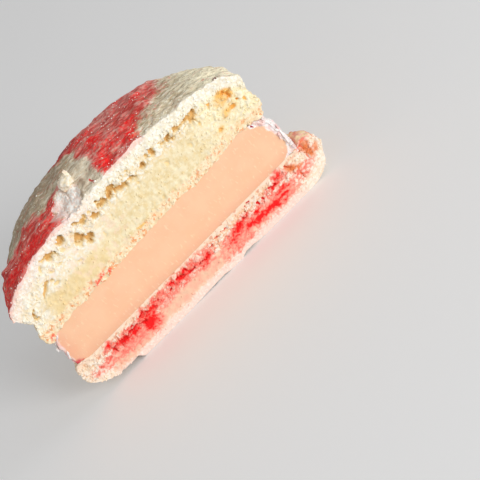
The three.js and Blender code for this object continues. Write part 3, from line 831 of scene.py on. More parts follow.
def crust():
    """Dry skin in two colours of batter, finely wrinkled, with sugar glinting in places. Painted shade
    darkens the wrinkles' hollows, the dome's back on the left, its left end, the groove by the scraped
    place and specks at the right end of the rim. Painted light brightens the dome's right side and a
    patch by the cut's middle. Below the rim it is bare, pale crumb."""
    f = Finish("swirled_crust")
    x, y, z = f.spot.part("x"), f.spot.part("y"), f.spot.part("z")
    streaks = f.noise(1.3, 4.0, f.stretched((0.4, 1, 1)))
    wrinkles = f.noise(0.7, 5.0, f.stretched((0.45, 1, 1)))
    fine = f.noise(0.4)
    blotches = f.noise(3.2) - 0.5
    # painted shade: the cream darker towards the dome's back on its left, away from the lamps
    shade = (y + blotches * 6).step(4, 11) * (x + blotches * 6).step(1, -6)
    # painted light: a paler patch of cream on the dome's front, by the middle of the cut
    light = x.step(-7, -3) * x.step(4, 1) * (y + blotches * 5).step(9, 5)
    hairs = f.noise(0.32, 4.0, f.stretched((0.5, 1, 1)))
    cream = f.coats(
        (226, 212, 180),
        ((blotches + 0.5).step(0.35, 0.65), (204, 186, 152)),
        (wrinkles.step(0.5, 0.68) * 0.8, (246, 240, 218)),
        # painted shade: the cream darker in the hollows of the wrinkles' bump
        (wrinkles.step(0.48, 0.34) * 0.7, (164, 144, 114)),
        (shade * 0.7, (158, 138, 116)),
        # painted light: the cream paler on the dome's right side, towards the lamps
        (x.step(14, 20) * 0.85, (255, 246, 214)),
        (light * 0.5, (240, 226, 204)),
        (hairs.step(0.52, 0.66) * 0.55, (240, 238, 220)),
        (hairs.step(0.46, 0.34) * 0.5, (150, 130, 104)),
        # painted shade in the shallow groove beside the scraped place
        (f.stored("groove") * 0.75, (158, 132, 108)),
    )
    dusty = f.mix(wrinkles.step(0.42, 0.62), (204, 70, 62), (232, 164, 152))
    # the red paler towards the dome's back on its right
    paler_back_right = (y + blotches * 8).step(7, 15) * (x + blotches * 4).step(-1, 3)
    dusty = f.mix(paler_back_right * 0.25, dusty, (240, 200, 190))
    # painted shade: the red darker, to maroon, on the dome's back and at its left end
    far = (y + blotches * 6).step(10, 15) * x.step(1, -3)
    dusty = f.mix((x.step(-17, -21) * 0.4).most(far * 0.7), dusty, (146, 26, 36))
    # painted shade: the bright red darker in the hollows of the wrinkles' bump
    bright = f.mix(wrinkles.step(0.5, 0.36) * 0.5, (252, 38, 36), (200, 18, 22))
    bright = f.mix(wrinkles.step(0.55, 0.68) * 0.6, bright, (234, 116, 104))
    vivid = f.stored("vivid").most(0.2) + blotches + (fine - 0.5) * 1.6 + (wrinkles - 0.5) * 1.4
    reds = f.coats(
        dusty,
        (vivid.step(0.05, 0.95), bright),
        (hairs.step(0.54, 0.68) * 0.45, (232, 150, 138)),
        (hairs.step(0.44, 0.32) * 0.45, (150, 18, 26)),
    )
    red = f.stored("red_batter") + (streaks - 0.5) * 1.6 + (fine - 0.5) * 1.2
    torn = f.mix(red.step(0.1, 0.9), (252, 242, 222), (240, 140, 130))
    fibres = f.noise(0.4, 4.0, f.stretched((1.4, 0.6, 1)))
    frayed = f.mix(fibres.step(0.4, 0.58), (246, 224, 210), (255, 253, 246))
    frayed = f.mix(x.step(-7, -8.8) * 0.5, frayed, (246, 190, 182))
    bare = (f.stored("scraped") + (fine - 0.5) * 0.8).step(0.3, 0.7)
    colour = f.coats(
        cream,
        (red.step(0.0, 1.0).most(f.stored("fleck").step(0.4, 0.9)), reds),
        (f.stored("blush").step(0.2, 0.9) * 0.8, (248, 188, 180)),
        ((y + (fine - 0.5) * 0.8).step(0.5, 0.05) * 0.65, torn),
        (bare, frayed),
    )
    lumps = (f.noise(0.9, 4.0) * 0.7 + fine * 0.3).step(0.42, 0.58)
    crumb = f.mix(lumps, (243, 216, 164), (252, 240, 212))
    crumb = f.mix((blotches + 0.5).step(0.5, 0.65) * 0.5, crumb, (250, 224, 190))
    colour = f.mix((z + blotches).step(19.0, 20.2), crumb, colour)
    # painted shade: dark red specks on the crust at the right end of the rim
    shady = x.step(19, 21) * y.step(2.5, 0.5) * f.flecks(0.6, 0.10)
    colour = f.mix(shady, colour, (120, 30, 42))
    relief = wrinkles + f.noise(0.22, 2.0) * 0.25
    rough = 0.8 - fine.step(0.58, 0.72) * 0.3
    return f.surface(colour, rough, relief, 0.45, DRY)


def sugar_dust():
    """White grains, some of them a little yellowed."""
    f = Finish("sugar_dust")
    colour = f.mix(f.noise(0.6).step(0.4, 0.6), (255, 253, 248), (244, 236, 224))
    return f.surface(colour, 0.6, f.noise(0.1), 0.02, DRY)


top_shell.data.materials.append(top_crumb())
top_shell.data.materials.append(crust())
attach(top_shell, "root")
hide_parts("top_shell")

# Loose crumbs: grains of the torn meringue that cling to the cut face where it is open, and a few
# on the scraped place. They are the same meringue.
LOOSE_CRUMB = {"shape": "crumb", "density": 4.0, "size": (0.32, 0.32, 0.32), "scales": (0.5, 1.4),
               "tilt": 180, "curl": 0, "uneven": 0.2}
top_crumbs = strewn(
    "top_shell_loose_crumbs", top_shell, top_shell.data.materials[0], seed=11, **LOOSE_CRUMB)
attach(top_crumbs, "root")

# Sugar dust: coarse white grains that the crust holds, most of them near the cut and on the red.
# Where more lie: (x, y, half width, half depth, strength).
SUGARED = [
    (4.6, 0.8, 0.9, 0.6, 0.7), (7, 0.7, 1, 0.6, 0.5), (12, 0.6, 3, 0.5, 0.35),
    (8.5, 3, 1.2, 0.5, 0.3), (-2.5, 9, 0.6, 0.5, 0.4), (15, 1.5, 1, 0.8, 0.3),
]
# the extra grains on the red batter are partly its sugar and partly painted glints, white grains put
# where it sparkles
dusted = stained(x, y, SUGARED, 98) + 0.12 * (y < 1) + 0.02 + 0.05 * batter
remember(top_shell, "cover", dusted * over_crust)
dust = strewn("top_shell_sugar_dust", top_shell, sugar_dust(), "crumb", density=5.0, seed=12,
              size=(0.17, 0.17, 0.17), scales=(0.4, 1.3), tilt=180, curl=0, uneven=0.1)
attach(dust, "root")

# A lump of crumb, a splinter and a bit that the knife left on the crust by the scraped place, where
# they stick. Each: the place in plan, the height over the crust, and half sizes.
STRAYS = [
    ((-4.8, 4.7), 0.35, (1.1, 1.1, 1.0)),
    ((-3.9, 5.2), 0.75, (0.28, 0.34, 0.75)),
    ((-5.0, 3.9), 0.15, (0.6, 0.5, 0.5)),
]
turn, tilt = np.meshgrid(np.linspace(0, 2 * math.pi, 61), np.linspace(0, math.pi, 31), indexing="ij")
ball = joined(np.cos(turn) * np.sin(tilt), np.sin(turn) * np.sin(tilt), np.cos(tilt))
stray_grids = []
for number, ((stray_x, stray_y), lift, half_sizes) in enumerate(STRAYS):
    rough = 0.45 * ripple(ball, 0.8, 106 + number) + 0.25 * ripple(ball, 0.33, 116 + number)
    base = RIM_HEIGHT + crust_rise(np.array(stray_x), np.array(stray_y)) + SLOPE_ALONG_CUT * stray_x
    bits = ball * (1 + rough)[..., None] * half_sizes
    stray_grids.append((bits + (stray_x, stray_y, base + lift), 0))
lump, lump_spots = closed_mesh("top_shell_stray_lump", stray_grids)
lump.data.materials.append(top_shell.data.materials[0])
for name, value in {"under_crust": 3.2, "over_filling": 9, "lump": 0.4}.items():
    remember(lump, name, np.full(len(lump_spots), value))
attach(lump, "root")


# The filling: a slab of firm, smooth peach cream, cut clean by the knife. Its rounded side is
# rolled in shredded coconut, which the cream holds.
FILLING_MIDDLE = -0.3
FILLING_BOTTOM = 6.5
FILLING_TOP = 13.95
FILLING_SIDE = [(22.3, 6.5), (22.4, 7.8), (22.2, 9.9), (22.0, 12.1), (21.4, 13.3), (20.2, 13.95)]
# How far in the coat reaches on the cut: (z, depth at the right end, depth at the left end).
COAT_DEPTHS = np.array([
    (6.5, 2.5, 0.1),
    (7.1, 1.2, 0.15),
    (8.6, 0.5, 0.15),
    (10.2, 0.7, 0.2),
    (12.0, 0.9, 0.4),
    (12.8, 0.9, 0.9),
    (13.6, 0.8, 1.5),
])


def filling_cut(x, z):
    """The knife's faint drag marks on the filling."""
    spot = joined(x * 0.15, 0, z)
    return 0.03 * ripple(spot, 0.8, 100) + 0.03 * ripple(spot * (6, 1, 1), 3.0, 101)


def syrup_depth(spots):
    """How far points lie within the syrup that has gathered in the filling's lower left corner."""
    x, y, z = np.moveaxis(spots, -1, 0)
    return 8.1 - z - (x + 22.6) - 0.9 * np.maximum(y - 0.6, 0) + 0.3 * ripple(spots, 0.5, 103)


side_rows, filling_columns = 60, 240
side_curve = curve_through(FILLING_SIDE, side_rows)
side = round_surface(side_curve, filling_columns, FILLING_MIDDLE)
x, y, z = np.moveaxis(side, -1, 0)
near_top = ramp(11.4, FILLING_TOP, z)
z = z + near_top * (seam_height(x, y) - FILLING_TOP)
bumps = 0.12 * ripple(side, 1.6, 102) + 0.3 * np.abs(ripple(side, 0.9, 105)) * ramp(0, 0.8, y + 0.4)
side = pushed(joined(x, y, z), -bumps)
side = brought_to_cut(side, filling_cut)
top_line = np.linspace(side[-1, -1], side[-1, 0], filling_columns)
base_line = np.linspace(side[0, -1], side[0, 0], filling_columns)
top_line[1:-1, 2] = seam_height(top_line[1:-1, 0])
for line in (top_line, base_line):
    line[1:-1, 1] = filling_cut(line[1:-1, 0], line[1:-1, 2])
slice_face = cut_patch(base_line, top_line, side[:, -1], side[:, 0], filling_cut)
filling, spots = closed_mesh(
    "filling_slab",
    [(slice_face, 0), (side, 0)],
    [
        (np.concatenate([top_line, side[-1, 1:-1]]), (0, FAN_MIDDLE, FILLING_TOP), 0),
        (np.concatenate([base_line, side[0, 1:-1]]), (0, FAN_MIDDLE, FILLING_BOTTOM), 0),
    ],
)
x, y, z = spots.T
side_reach = np.interp(z, side_curve[:, 1], side_curve[:, 0])
inside = side_reach - np.hypot(x - FILLING_MIDDLE, y) + 0.25 * ripple(spots, 0.8, 104)
coat_z, right_coat, left_coat = COAT_DEPTHS.T
coat = np.where(x > 0, np.interp(z, coat_z, right_coat), np.interp(z, coat_z, left_coat))
remember(filling, "coated", 1 - ramp(coat - 0.15, coat + 0.1, inside))
remember(filling, "syrup", ramp(-0.15, 0.3, syrup_depth(spots)))


def peach_cream():
    """Even, satin peach cream with small paler flecks, darker towards its lower edge and its left end
    with painted shade, and sugared where the coconut lies. Red syrup has gathered in the lower left
    corner."""
    f = Finish("peach_cream")
    x, z = f.spot.part("x"), f.spot.part("z")
    clouds = f.noise(3.5)
    flecks = f.noise(0.6, 2.0, f.stretched((1.5, 1, 0.6))).step(0.58, 0.70)
    strips = f.noise(0.7, 3.0, f.stretched((1, 1, 0.5)))
    sugared = f.coats(
        (246, 214, 206),
        (strips.step(0.40, 0.52), (255, 247, 242)),
        (f.flecks(0.5, 0.06), (170, 40, 52)),
        (x.step(-15, -20) * 0.6, (252, 190, 176)),
    )
    syrup = f.mix((z * 1.5 + x).step(-11.6, -12.6), (214, 84, 90), (160, 36, 44))
    colour = f.coats(
        (252, 203, 166),
        (clouds.step(0.35, 0.65), (251, 198, 160)),
        # painted shade: darker towards the lower edge and the rounded left end
        ((z.step(8.6, 6.6) * 0.7).most(x.step(-19.5, -22.5)), (243, 182, 148)),
        (flecks * clouds.step(0.35, 0.55) * 0.6, (255, 222, 188)),
        (f.stored("coated"), sugared),
        (f.stored("syrup"), syrup),
    )
    relief = f.noise(0.6, 4.0, f.stretched((0.3, 1, 1)))
    constants = {
        "Subsurface Weight": 0.25,
        "Subsurface Radius": (1.0, 0.6, 0.4),
        "Subsurface Scale": 0.0008,
        "Specular IOR Level": 0.35,
    }
    return f.surface(colour, 0.5, relief, 0.03, constants)


filling.data.materials.append(peach_cream())
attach(filling, "root")
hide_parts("filling")


# The coconut: flat white shreds pressed into the side of the filling and lying over each other.
# Some have taken up pink or red from the shells.
def coconut():
    """Translucent white flesh, here and there tinted pink, and red on a few shreds."""
    f = Finish("shredded_coconut")
    number = f.stored("own_number")
    tinted = (number + (f.noise(1.6) - 0.5) * 0.7).step(0.6, 1.0)
    colour = f.coats(
        (252, 248, 245),
        (f.noise(0.7).step(0.35, 0.65), (240, 230, 228)),
        (tinted * 0.75, (250, 196, 190)),
        (number.step(0.97, 0.975) * f.noise(0.8).step(0.35, 0.5), (216, 60, 62)),
    )
    return f.surface(colour, 0.45, f.noise(0.25), 0.04, {"Specular IOR Level": 0.4})


coat_ground, spots = closed_mesh("coat_ground", [(pushed(side, np.full(side.shape[:2], 0.05)), 0)])
x, y, z = spots.T
low_enough = ramp(6.4, 7.0, z) * (1 - ramp(13.1, 13.7, z - SLOPE_ALONG_CUT * x))
clear = 1 - ramp(-0.9, -0.3, syrup_depth(spots))
remember(coat_ground, "cover", low_enough * (y > 0.1) * clear)
shreds = strewn("coconut_shreds", coat_ground, coconut(), "shred", density=2.3, seed=21,
                size=(2.2, 0.75, 0.3), scales=(0.6, 1.25), tilt=16, curl=-0.05, uneven=0.5)
bpy.data.objects.remove(coat_ground)
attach(shreds, "root")


# The bottom shell: the same meringue, flatter, and upside down. Its foot is at the top, against
# the filling, and its flat crust is the underside. Red batter has soaked through its crumb.
BOTTOM_MIDDLE = 0.62
BOTTOM_TOPSIDE = 6.55
# The plane of the noise that its cut takes, so that it doesn't repeat the top shell's.
OTHER_PLANE = 30.0
# Its outline in three parts: (radius, z) under it, up its side, and inwards over its top.
BOTTOM_BASE = [(19.0, 0.0), (20.4, 0.12), (21.8, 0.6)]
BOTTOM_SIDE = [(21.8, 0.6), (23.3, 1.8), (24.4, 4.3), (24.0, 5.8), (23.1, 6.6)]
BOTTOM_LIP = [(23.1, 6.6), (22.0, 6.6), (20.8, 6.55)]
# Hollows that the cut lays open: (x, z, half width, half height, depth, turn in degrees).
BOTTOM_HOLLOWS = [
    (-17.4, 4.2, 0.14, 0.7, 0.54, 10), (-16.9, 4.8, 0.5, 0.11, 0.48, 0),
    (-16.2, 4.1, 0.11, 0.5, 0.42, -5), (-15.5, 4.65, 0.9, 0.13, 0.6, 5),
    (-13.6, 4.75, 0.8, 0.13, 0.54, -5), (-13.3, 5.2, 0.28, 0.14, 0.42, 0),
    (-12, 4.5, 0.75, 0.13, 0.54, -25), (-11.3, 5.4, 0.5, 0.13, 0.6, 15),
    (-10.8, 5.7, 0.17, 0.3, 0.54, 0), (-10.4, 5.2, 0.12, 0.4, 0.48, 30),
    (-5.5, 4.85, 0.4, 0.13, 0.48, 35), (-4.7, 5.5, 0.3, 0.13, 0.42, 0),
    (-3.7, 5.4, 0.4, 0.18, 0.6, 0), (-3, 5.15, 0.5, 0.17, 0.54, -10),
    (-1.9, 5.5, 0.18, 0.35, 0.48, 0), (-1.3, 4.6, 0.7, 0.15, 0.54, 0),
    (0.9, 4.4, 0.7, 0.15, 0.48, 0), (3.2, 5.2, 0.5, 0.1, 0.42, 10),
    (4.6, 5.55, 0.4, 0.1, 0.42, -15), (5.9, 5.65, 0.7, 0.1, 0.42, -20),
    (5.6, 4.6, 0.1, 0.6, 0.24, 20), (7.2, 4.6, 0.16, 0.3, 0.36, 0),
    (9.6, 4.5, 0.4, 0.2, 0.42, -20), (10.1, 5, 0.1, 0.5, 0.48, -20),
    (10.6, 5.85, 0.18, 0.2, 0.54, 0), (11.5, 6, 0.28, 0.14, 0.54, 0),
    (12.4, 4.7, 0.14, 0.5, 0.48, 15), (13.3, 4.7, 0.3, 0.15, 0.48, -25),
    (14.8, 5.3, 0.5, 0.1, 0.48, -5), (15.7, 4.95, 0.7, 0.13, 0.66, -12),
    (19.2, 5.3, 0.16, 0.6, 0.42, 35), (20.2, 4.4, 0.13, 0.5, 0.42, 35),
    (20, 2.6, 0.1, 0.7, 0.42, 0), (-22.5, 5.2, 0.14, 0.4, 0.3, 10),
    (-21.4, 4.8, 0.11, 0.8, 0.3, 5), (-22.8, 3.1, 0.5, 0.1, 0.3, 0),
    (22.7, 5.9, 0.13, 0.6, 0.48, 5), (22.4, 4.4, 0.12, 0.5, 0.36, -5),
]
# Where red batter has soaked the crumb, and where it is rust-coloured: (x, z, half width, half
# height, strength). Both reach this far behind the cut.
SOAKED_REACH = 6
RED_STAINS = [
    (-17.6, 5.5, 0.9, 0.5, 0.75), (-19.5, 3.8, 2.4, 0.9, 0.42), (-17.4, 4.3, 0.6, 1, 0.65),
    (-15.8, 4.6, 1.3, 0.4, 0.95), (-14, 4.4, 2.6, 0.8, 0.8), (-11, 3.8, 1.3, 1.6, 1),
    (-9.6, 4.9, 1.4, 0.6, 1), (-8.2, 5.2, 2.2, 0.8, 0.55), (-6.8, 4.3, 2.2, 1, 0.42),
    (-14.5, 3.2, 5.5, 1.3, 0.36), (-4.7, 5.5, 0.6, 0.4, 0.85), (-3.2, 5.2, 1.3, 0.5, 1),
    (-2.2, 5.5, 0.7, 0.5, 0.85), (-1.9, 4.8, 0.9, 0.4, 1), (1.6, 4.3, 1, 0.5, 0.95),
    (1, 4, 1.3, 0.8, 0.65), (-1.5, 5, 4, 1.2, 0.45), (-2.8, 3.9, 1.2, 0.6, 0.5),
    (6.2, 3.2, 1.6, 0.9, 0.72), (7.7, 4.1, 1.1, 0.6, 0.95), (8.8, 4.6, 1.3, 0.4, 0.85),
    (5.6, 1.9, 2.4, 0.7, 0.42), (8.2, 1.6, 0.9, 0.4, 0.42), (9.6, 3.1, 2.2, 0.7, 0.75),
    (11, 2.7, 1.4, 0.7, 1), (11.5, 3.8, 0.9, 0.4, 0.75), (13.6, 2.8, 2.4, 0.6, 0.95),
    (14.2, 2.4, 1.3, 0.6, 1), (16, 2.7, 1.5, 0.4, 0.95), (16, 1.8, 1.3, 0.4, 0.65),
    (16.4, 3.5, 1.5, 0.4, 0.8), (17.1, 5.5, 1, 0.8, 0.65), (15.8, 4.9, 1.1, 0.4, 0.9),
    (12, 3, 8, 1.6, 0.4), (20.5, 3.3, 2.4, 0.8, 0.35), (22.8, 7.2, 1.4, 1.4, 0.3),
]
RUSTY_STAINS = [
    (19.5, 5, 1, 0.9, 0.9), (20.2, 4.2, 0.5, 0.5, 0.9), (23, 5.2, 0.7, 1.8, 0.9),
    (24, 4.8, 0.7, 0.9, 0.7), (21, 4.1, 0.4, 0.3, 0.7), (19.6, 6, 1.4, 0.3, 0.6),
    (-20, 5.6, 0.8, 0.5, 0.55), (-17, 5.7, 0.5, 0.4, 0.5), (-21.3, 4.5, 0.4, 1.6, 0.2),
    (-12.5, 5.6, 1.4, 0.4, 0.3), (12, 5.7, 1.8, 0.4, 0.35), (4.8, 5.5, 1.6, 0.3, 0.4),
]
# How far the cut's lower edge is lifted: much at the left end, where a chip is missing: (x, lift).
LOWER_EDGE = [(-25, 4.6), (-23.7, 3.2), (-21.8, 1.75), (-19.6, 0.95), (-17.3, 0.9), (-15.8, 1.1),
              (-15.0, 0.05), (-5, 0), (-2.7, 0.12), (-0.4, 0.2), (1.9, 0.2), (3.1, 0), (5.2, 0),
              (6.1, 0.42), (7.9, 0.35), (9.2, 0.1), (10.5, 0), (25, 0)]


def bottom_cut(x, z):
    """How far the bottom shell's cut face lies behind the knife's plane."""
    spot = joined(x, OTHER_PLANE, z)
    foot = ramp(3.6, 4.6, z + 0.4 * ripple(spot, 1.6, 110))
    crust_band = 1 - ramp(1.0, 1.7, z + 0.3 * ripple(spot, 1.4, 111))
    lumps, crumbs, pores, pinholes = crumb_parts(
        x, z, spot, (0.95, 0.4), 112, (0.76, 0.84), (0.2, 0.45), (0.7, 0.8))
    behind = 0.12 * ripple(spot, 4.0, 120)
    behind -= lumps * (0.32 * foot + 0.05)
    behind += 0.05 * ripple(spot, 0.5, 121)
    behind -= crumbs * (0.06 * foot + 0.02 + 0.03 * crust_band)
    behind += pores * (0.5 * foot + 0.03)
    behind += pinholes * (0.08 * foot + 0.03 * crust_band)
    behind += 0.7 * hollow_depth(x, z, BOTTOM_HOLLOWS)
    by_filling = ramp(6.0, 6.45, z) * (1 - ramp(19.5, 21.5, np.abs(x)))
    return behind * (1 - by_filling) - 0.06 * by_filling


base_rows, side_rows, lip_rows, turns = 16, 62, 14, 280
profile = np.concatenate([
    curve_through(BOTTOM_BASE, base_rows)[:-1],
    curve_through(BOTTOM_SIDE, side_rows)[:-1],
    curve_through(BOTTOM_LIP, lip_rows),
])
outside = round_surface(profile, turns, BOTTOM_MIDDLE)
x, y, z = np.moveaxis(outside, -1, 0)
reach = np.hypot(x - BOTTOM_MIDDLE, y)
on_side = ramp(0.2, 1.8, z) * ramp(20.8, 22.6, reach)
on_foot = on_side * ramp(3.2, 4.6, z)
ruffles = foot_ruffles(outside, (0.35, 0.22), 2.0, 130)
skin = 0.08 * ripple(outside, 1.3, 135) + 0.05 * ripple(outside, 0.5, 136)
outside = pushed(outside, -(on_foot * ruffles + on_side * skin))
behind_right = ramp(12, 20, x) * ramp(1, 6, y) * (1 - ramp(14, 21, y))
outside[..., 0] -= 1.1 * behind_right
flaps = 0.6 + ripple(outside, 2.8, 137) - 1.2 * behind_right
flaps = flaps + 1.6 * np.exp(-((x - 23.3) ** 2 + (y - 3.0) ** 2) / 4)
outside[..., 2] += 0.5 * on_foot * ramp(5.0, 6.4, z) * flaps
outside[..., 2] = np.maximum(outside[..., 2], 0)
outside = brought_to_cut(outside, bottom_cut)
right_edge, left_edge = outside[:, 0], outside[:, -1]
side_start, lip_start = base_rows - 1, base_rows + side_rows - 2
flat_columns = 300
base_line = np.linspace(left_edge[0], right_edge[0], flat_columns - 2 * side_start)
top_line = np.linspace(left_edge[-1], right_edge[-1], flat_columns - 2 * (lip_rows - 1))
for line in (base_line, top_line):
    line[1:-1, 1] = bottom_cut(line[1:-1, 0], line[1:-1, 2])
cut_face = shell_cut(outside, side_start, lip_start, base_line, top_line, bottom_cut)


def chipped(points):
    """Lifts the underside by the cut, mostly where a chip is missing at the left end."""
    x, y = points[..., 0], points[..., 1]
    spot = points * (1, 1, 0)
    reach = y / np.interp(x, [-15, -13], [5.0, 2.0]) + 0.12 * ripple(spot, 0.9, 140)
    gone = np.interp(x + 0.2 * ripple(spot, 0.6, 142), *zip(*LOWER_EDGE)) * (1 - ramp(0.7, 1.0, reach))
    low = points.copy()
    uneven = 0.12 * ripple(spot, 0.5, 141) * (gone > 0.5)
    low[..., 2] = np.maximum(points[..., 2], gone + uneven)
    return low


bottom_shell, spots = closed_mesh(
    "bottom_shell_crumb_and_crust",
    [(chipped(cut_face), CRUMB), (chipped(outside), CRUST)],
    [
        (chipped(np.concatenate([base_line, outside[0, 1:-1]])), (0, FAN_MIDDLE, 0), CRUST),
        (np.concatenate([top_line, outside[-1, 1:-1]]), (0, FAN_MIDDLE, BOTTOM_TOPSIDE), CRUMB),
    ],
)
x, y, z = spots.T
on_cut = y < TORN_DEPTH
hollows = hollow_depth(x, z, BOTTOM_HOLLOWS)
remember(bottom_shell, "lump", crumb_lumps(x, z, 0.95, 112)[2])
remember(bottom_shell, "soaked", stained(x, z, RED_STAINS, 150) * (y < SOAKED_REACH))
remember(bottom_shell, "rusty", stained(x, z, RUSTY_STAINS, 152) * (y < SOAKED_REACH))
remember(bottom_shell, "hollow", hollows * (y < STAINS_REACH))
granular = ramp(3.4, 4.2, z) * (1 - ramp(5.8, 6.3, z)) + 0.1 + 0.5 * ramp(17, 19, np.abs(x))
granular *= 1 - ramp(0.05, 0.3, hollows)
remember(bottom_shell, "cover", granular * on_cut * (z > 0.6) * (z < 6.4))


def bottom_crumb():
    """Cream crumb, marbled red and pink where batter has soaked it, over a peach layer and a pale
    crust, with painted shade in the creases between its lumps."""
    f = Finish("marbled_meringue_crumb")
    soaked, rusty, hollow = f.stored("soaked"), f.stored("rusty"), f.stored("hollow")
    x, z = f.spot.part("x"), f.spot.part("z")
    clouds = f.noise(1.8) - 0.5
    patches = f.noise(0.8, 4.0) - 0.5
    fine = f.noise(0.35)
    # painted shade: tan in the creases between the crumb's lumps, paler on their tops
    high = (f.stored("lump") + (fine - 0.5) * 1.2).step(0.1, 0.5)
    cream = f.mix(high, (244, 208, 172), (254, 241, 224))
    peach = f.mix(clouds.step(-0.1, 0.1), (243, 204, 174), (250, 190, 164))
    pale = f.mix(fine.step(0.5, 0.66), (250, 226, 212), (253, 242, 230))
    ends = (x + clouds * 3).step(17, 20).most((x + clouds * 3).step(-18.5, -21))
    middle = (z + clouds * 1.2).step(1.1, 2.0) * (z + clouds).step(4.2, 3.2) * (1 - ends)
    # the ends' ivory has painted shade between the lumps too
    ivory = f.mix(high, (250, 233, 206), (254, 246, 230))
    under_slab = (z + clouds * 0.6).step(5.6, 6.2)
    wet = (soaked + patches * 0.7 + (0.5 - high) * 0.25) * soaked.step(0.04, 0.25)
    specks = z.step(4.4, 5.4) * f.flecks(0.4, 0.07)
    deep = f.mix(x.step(18, 19), (226, 40, 38), (234, 108, 64))
    deep = f.mix(x.step(-19, -20), deep, (234, 196, 154))
    colour = f.coats(
        pale,
        ((z + clouds * 0.8).step(0.9, 1.7), cream),
        (middle, peach),
        (ends * 0.9, ivory),
        (under_slab * 0.8, (254, 230, 204)),
        (wet.step(-0.08, 0.4), (250, 154, 136)),
        (wet.step(0.28, 0.85), (247, 30, 30)),
        ((rusty + patches * 0.8).step(0.25, 0.9), (236, 138, 84)),
        (specks * 0.6, (226, 140, 100)),
        (hollow.step(0.1, 0.45), deep),
    )
    return f.surface(colour, 0.8, fine, 0.06, DRY)


def bottom_crust():
    """Pale baked crust underneath and crumbly cream foot above it, touched with pink and orange."""
    f = Finish("pale_crust_and_foot")
    x, y, z = f.spot.part("x"), f.spot.part("y"), f.spot.part("z")
    clouds = f.noise(2.2) - 0.5
    patches = f.noise(0.8, 4.0) - 0.5
    lumps = (patches + 0.5) * 0.7 + f.noise(0.35) * 0.3
    under = f.mix(clouds.step(-0.12, 0.12), (251, 240, 222), (250, 226, 212))
    foot = f.mix(lumps.step(0.42, 0.58), (245, 218, 172), (253, 242, 216))
    on_foot = (z + clouds).step(2.6, 4.0)
    blushed = (f.stored("soaked") + patches * 0.5).step(0.1, 0.7)
    foot = f.mix(blushed * 0.8, foot, (251, 170, 150))
    flank = x.step(17, 21) * y.step(7, 4) * on_foot * (clouds + patches).step(-0.25, 0.1)
    rusty = (f.stored("rusty") + patches * 0.8).step(0.25, 0.9)
    colour = f.coats(
        under,
        (on_foot, foot),
        (on_foot * (clouds + patches).step(0.08, 0.3) * 0.75, (250, 172, 140)),
        (flank * 0.8, (232, 128, 108)),
        (rusty * 0.8, (240, 156, 100)),
        (on_foot * f.flecks(0.5, 0.03) * 0.7, (222, 150, 96)),
    )
    return f.surface(colour, 0.8, f.noise(0.5, 4.0), 0.2, DRY)


bottom_shell.data.materials.append(bottom_crumb())
bottom_shell.data.materials.append(bottom_crust())
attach(bottom_shell, "root")
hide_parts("bottom_shell")

# Loose crumbs on the bottom shell's cut: grains of its own meringue, torn out by the knife and
# still clinging to the open crumb.
bottom_crumbs = strewn("bottom_shell_loose_crumbs", bottom_shell, bottom_shell.data.materials[0],
                       seed=31, **LOOSE_CRUMB)
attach(bottom_crumbs, "root")


# The stand and the light: a pale floor, and two soft lamps that stand low, one before the cut and
# somewhat to the right and a weaker one at the right end. They fill the cut face with light and
# graze the crust, which a weak even fill keeps in half shade.
floor_mesh = bpy.data.meshes.new("floor")
half_floor = 1.5
floor_mesh.from_pydata(
    [(sx * half_floor, sy * half_floor, 0) for sx, sy in ((-1, -1), (1, -1), (1, 1), (-1, 1))],
    [], [(0, 1, 2, 3)],
)
floor = placed("floor", floor_mesh)
pale = bpy.data.materials.new("pale_floor")
pale.use_nodes = True
pale.node_tree.nodes["Principled BSDF"].inputs["Base Color"].default_value = paint(250, 250, 250)
pale.node_tree.nodes["Principled BSDF"].inputs["Roughness"].default_value = 0.9
floor_mesh.materials.append(pale)


def direction(azimuth, elevation):
    """From the object towards a place: azimuth 0 is in front of the cut, 90 at its right end."""
    a, e = math.radians(azimuth), math.radians(elevation)
    return Vector((math.sin(a) * math.cos(e), -math.cos(a) * math.cos(e), math.sin(e)))


LAMPS_AIM = Vector((0, 0, 0.012))


def soft_lamp(name, azimuth, elevation, distance, size, power):
    """A round lamp that points at the half's middle, at this distance in metres."""
    light = bpy.data.lights.new(name, "AREA")
    light.shape = "DISK"
    light.size = size
    light.energy = power
    lamp = placed(name, light)
    towards = direction(azimuth, elevation)
    lamp.location = LAMPS_AIM + towards * distance
    lamp.rotation_mode = "QUATERNION"
    lamp.rotation_quaternion = towards.to_track_quat("Z", "Y")


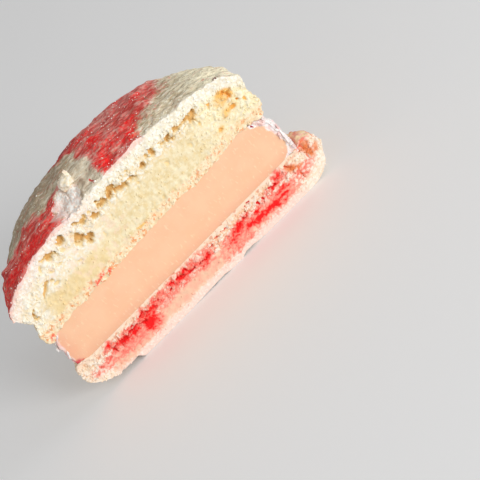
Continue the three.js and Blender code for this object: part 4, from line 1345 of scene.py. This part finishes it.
soft_lamp("front_lamp", azimuth=28, elevation=16, distance=0.6, size=0.25, power=1.85)
soft_lamp("side_lamp", azimuth=80, elevation=14, distance=0.6, size=0.30, power=0.5)
world = bpy.data.worlds.new("soft_fill")
bpy.context.scene.world = world
world.use_nodes = True
world.node_tree.nodes["Background"].inputs["Color"].default_value = (1.0, 1.0, 1.0, 1.0)
world.node_tree.nodes["Background"].inputs["Strength"].default_value = 0.5
bpy.context.scene.view_settings.view_transform = "Standard"


# The camera: close to the half, looking down at its cut face, and rolled as far as the half leans,
# so that the part itself stands level. Angles are in degrees and the distance in metres.
VIEW_AZIMUTH, VIEW_ELEVATION, VIEW_ROLL = 2.5, 27.0, 46.5
VIEW_DISTANCE = 0.230
PICTURE_SIDE = 480
# The spot that it aims at, the pixel where this shows, and the scale there: the domed shell's 48 mm
# take up about 334 pixels.
AIM = Vector(to_frame(np.array([0, 0, 12.65])))
AIM_PIXEL = (162.8, 229.8)
PIXELS_PER_MM = 334 / 48

back = direction(VIEW_AZIMUTH, VIEW_ELEVATION)
level_right = Vector((0, 0, 1)).cross(back).normalized()
level_up = back.cross(level_right)
roll = math.radians(VIEW_ROLL)
right = math.cos(roll) * level_right - math.sin(roll) * level_up
up = math.sin(roll) * level_right + math.cos(roll) * level_up
focal_pixels = PIXELS_PER_MM * VIEW_DISTANCE * 1000
off_x = (AIM_PIXEL[0] - PICTURE_SIDE / 2) / focal_pixels
off_y = -(AIM_PIXEL[1] - PICTURE_SIDE / 2) / focal_pixels
aimed = Vector((0, 0, -1)).rotation_difference(Vector((off_x, off_y, -1)).normalized())
level_frame = Matrix((right, up, back)).transposed()
camera_data = bpy.data.cameras.new("camera")
camera_data.sensor_width = 36.0
camera_data.lens = focal_pixels / PICTURE_SIDE * camera_data.sensor_width
camera_data.clip_start = 0.01
camera_data.clip_end = 10.0
camera = placed("camera", camera_data)
camera.location = AIM + back * VIEW_DISTANCE
camera.rotation_mode = "QUATERNION"
camera.rotation_quaternion = (level_frame @ aimed.to_matrix().transposed()).to_quaternion()
bpy.context.scene.camera = camera
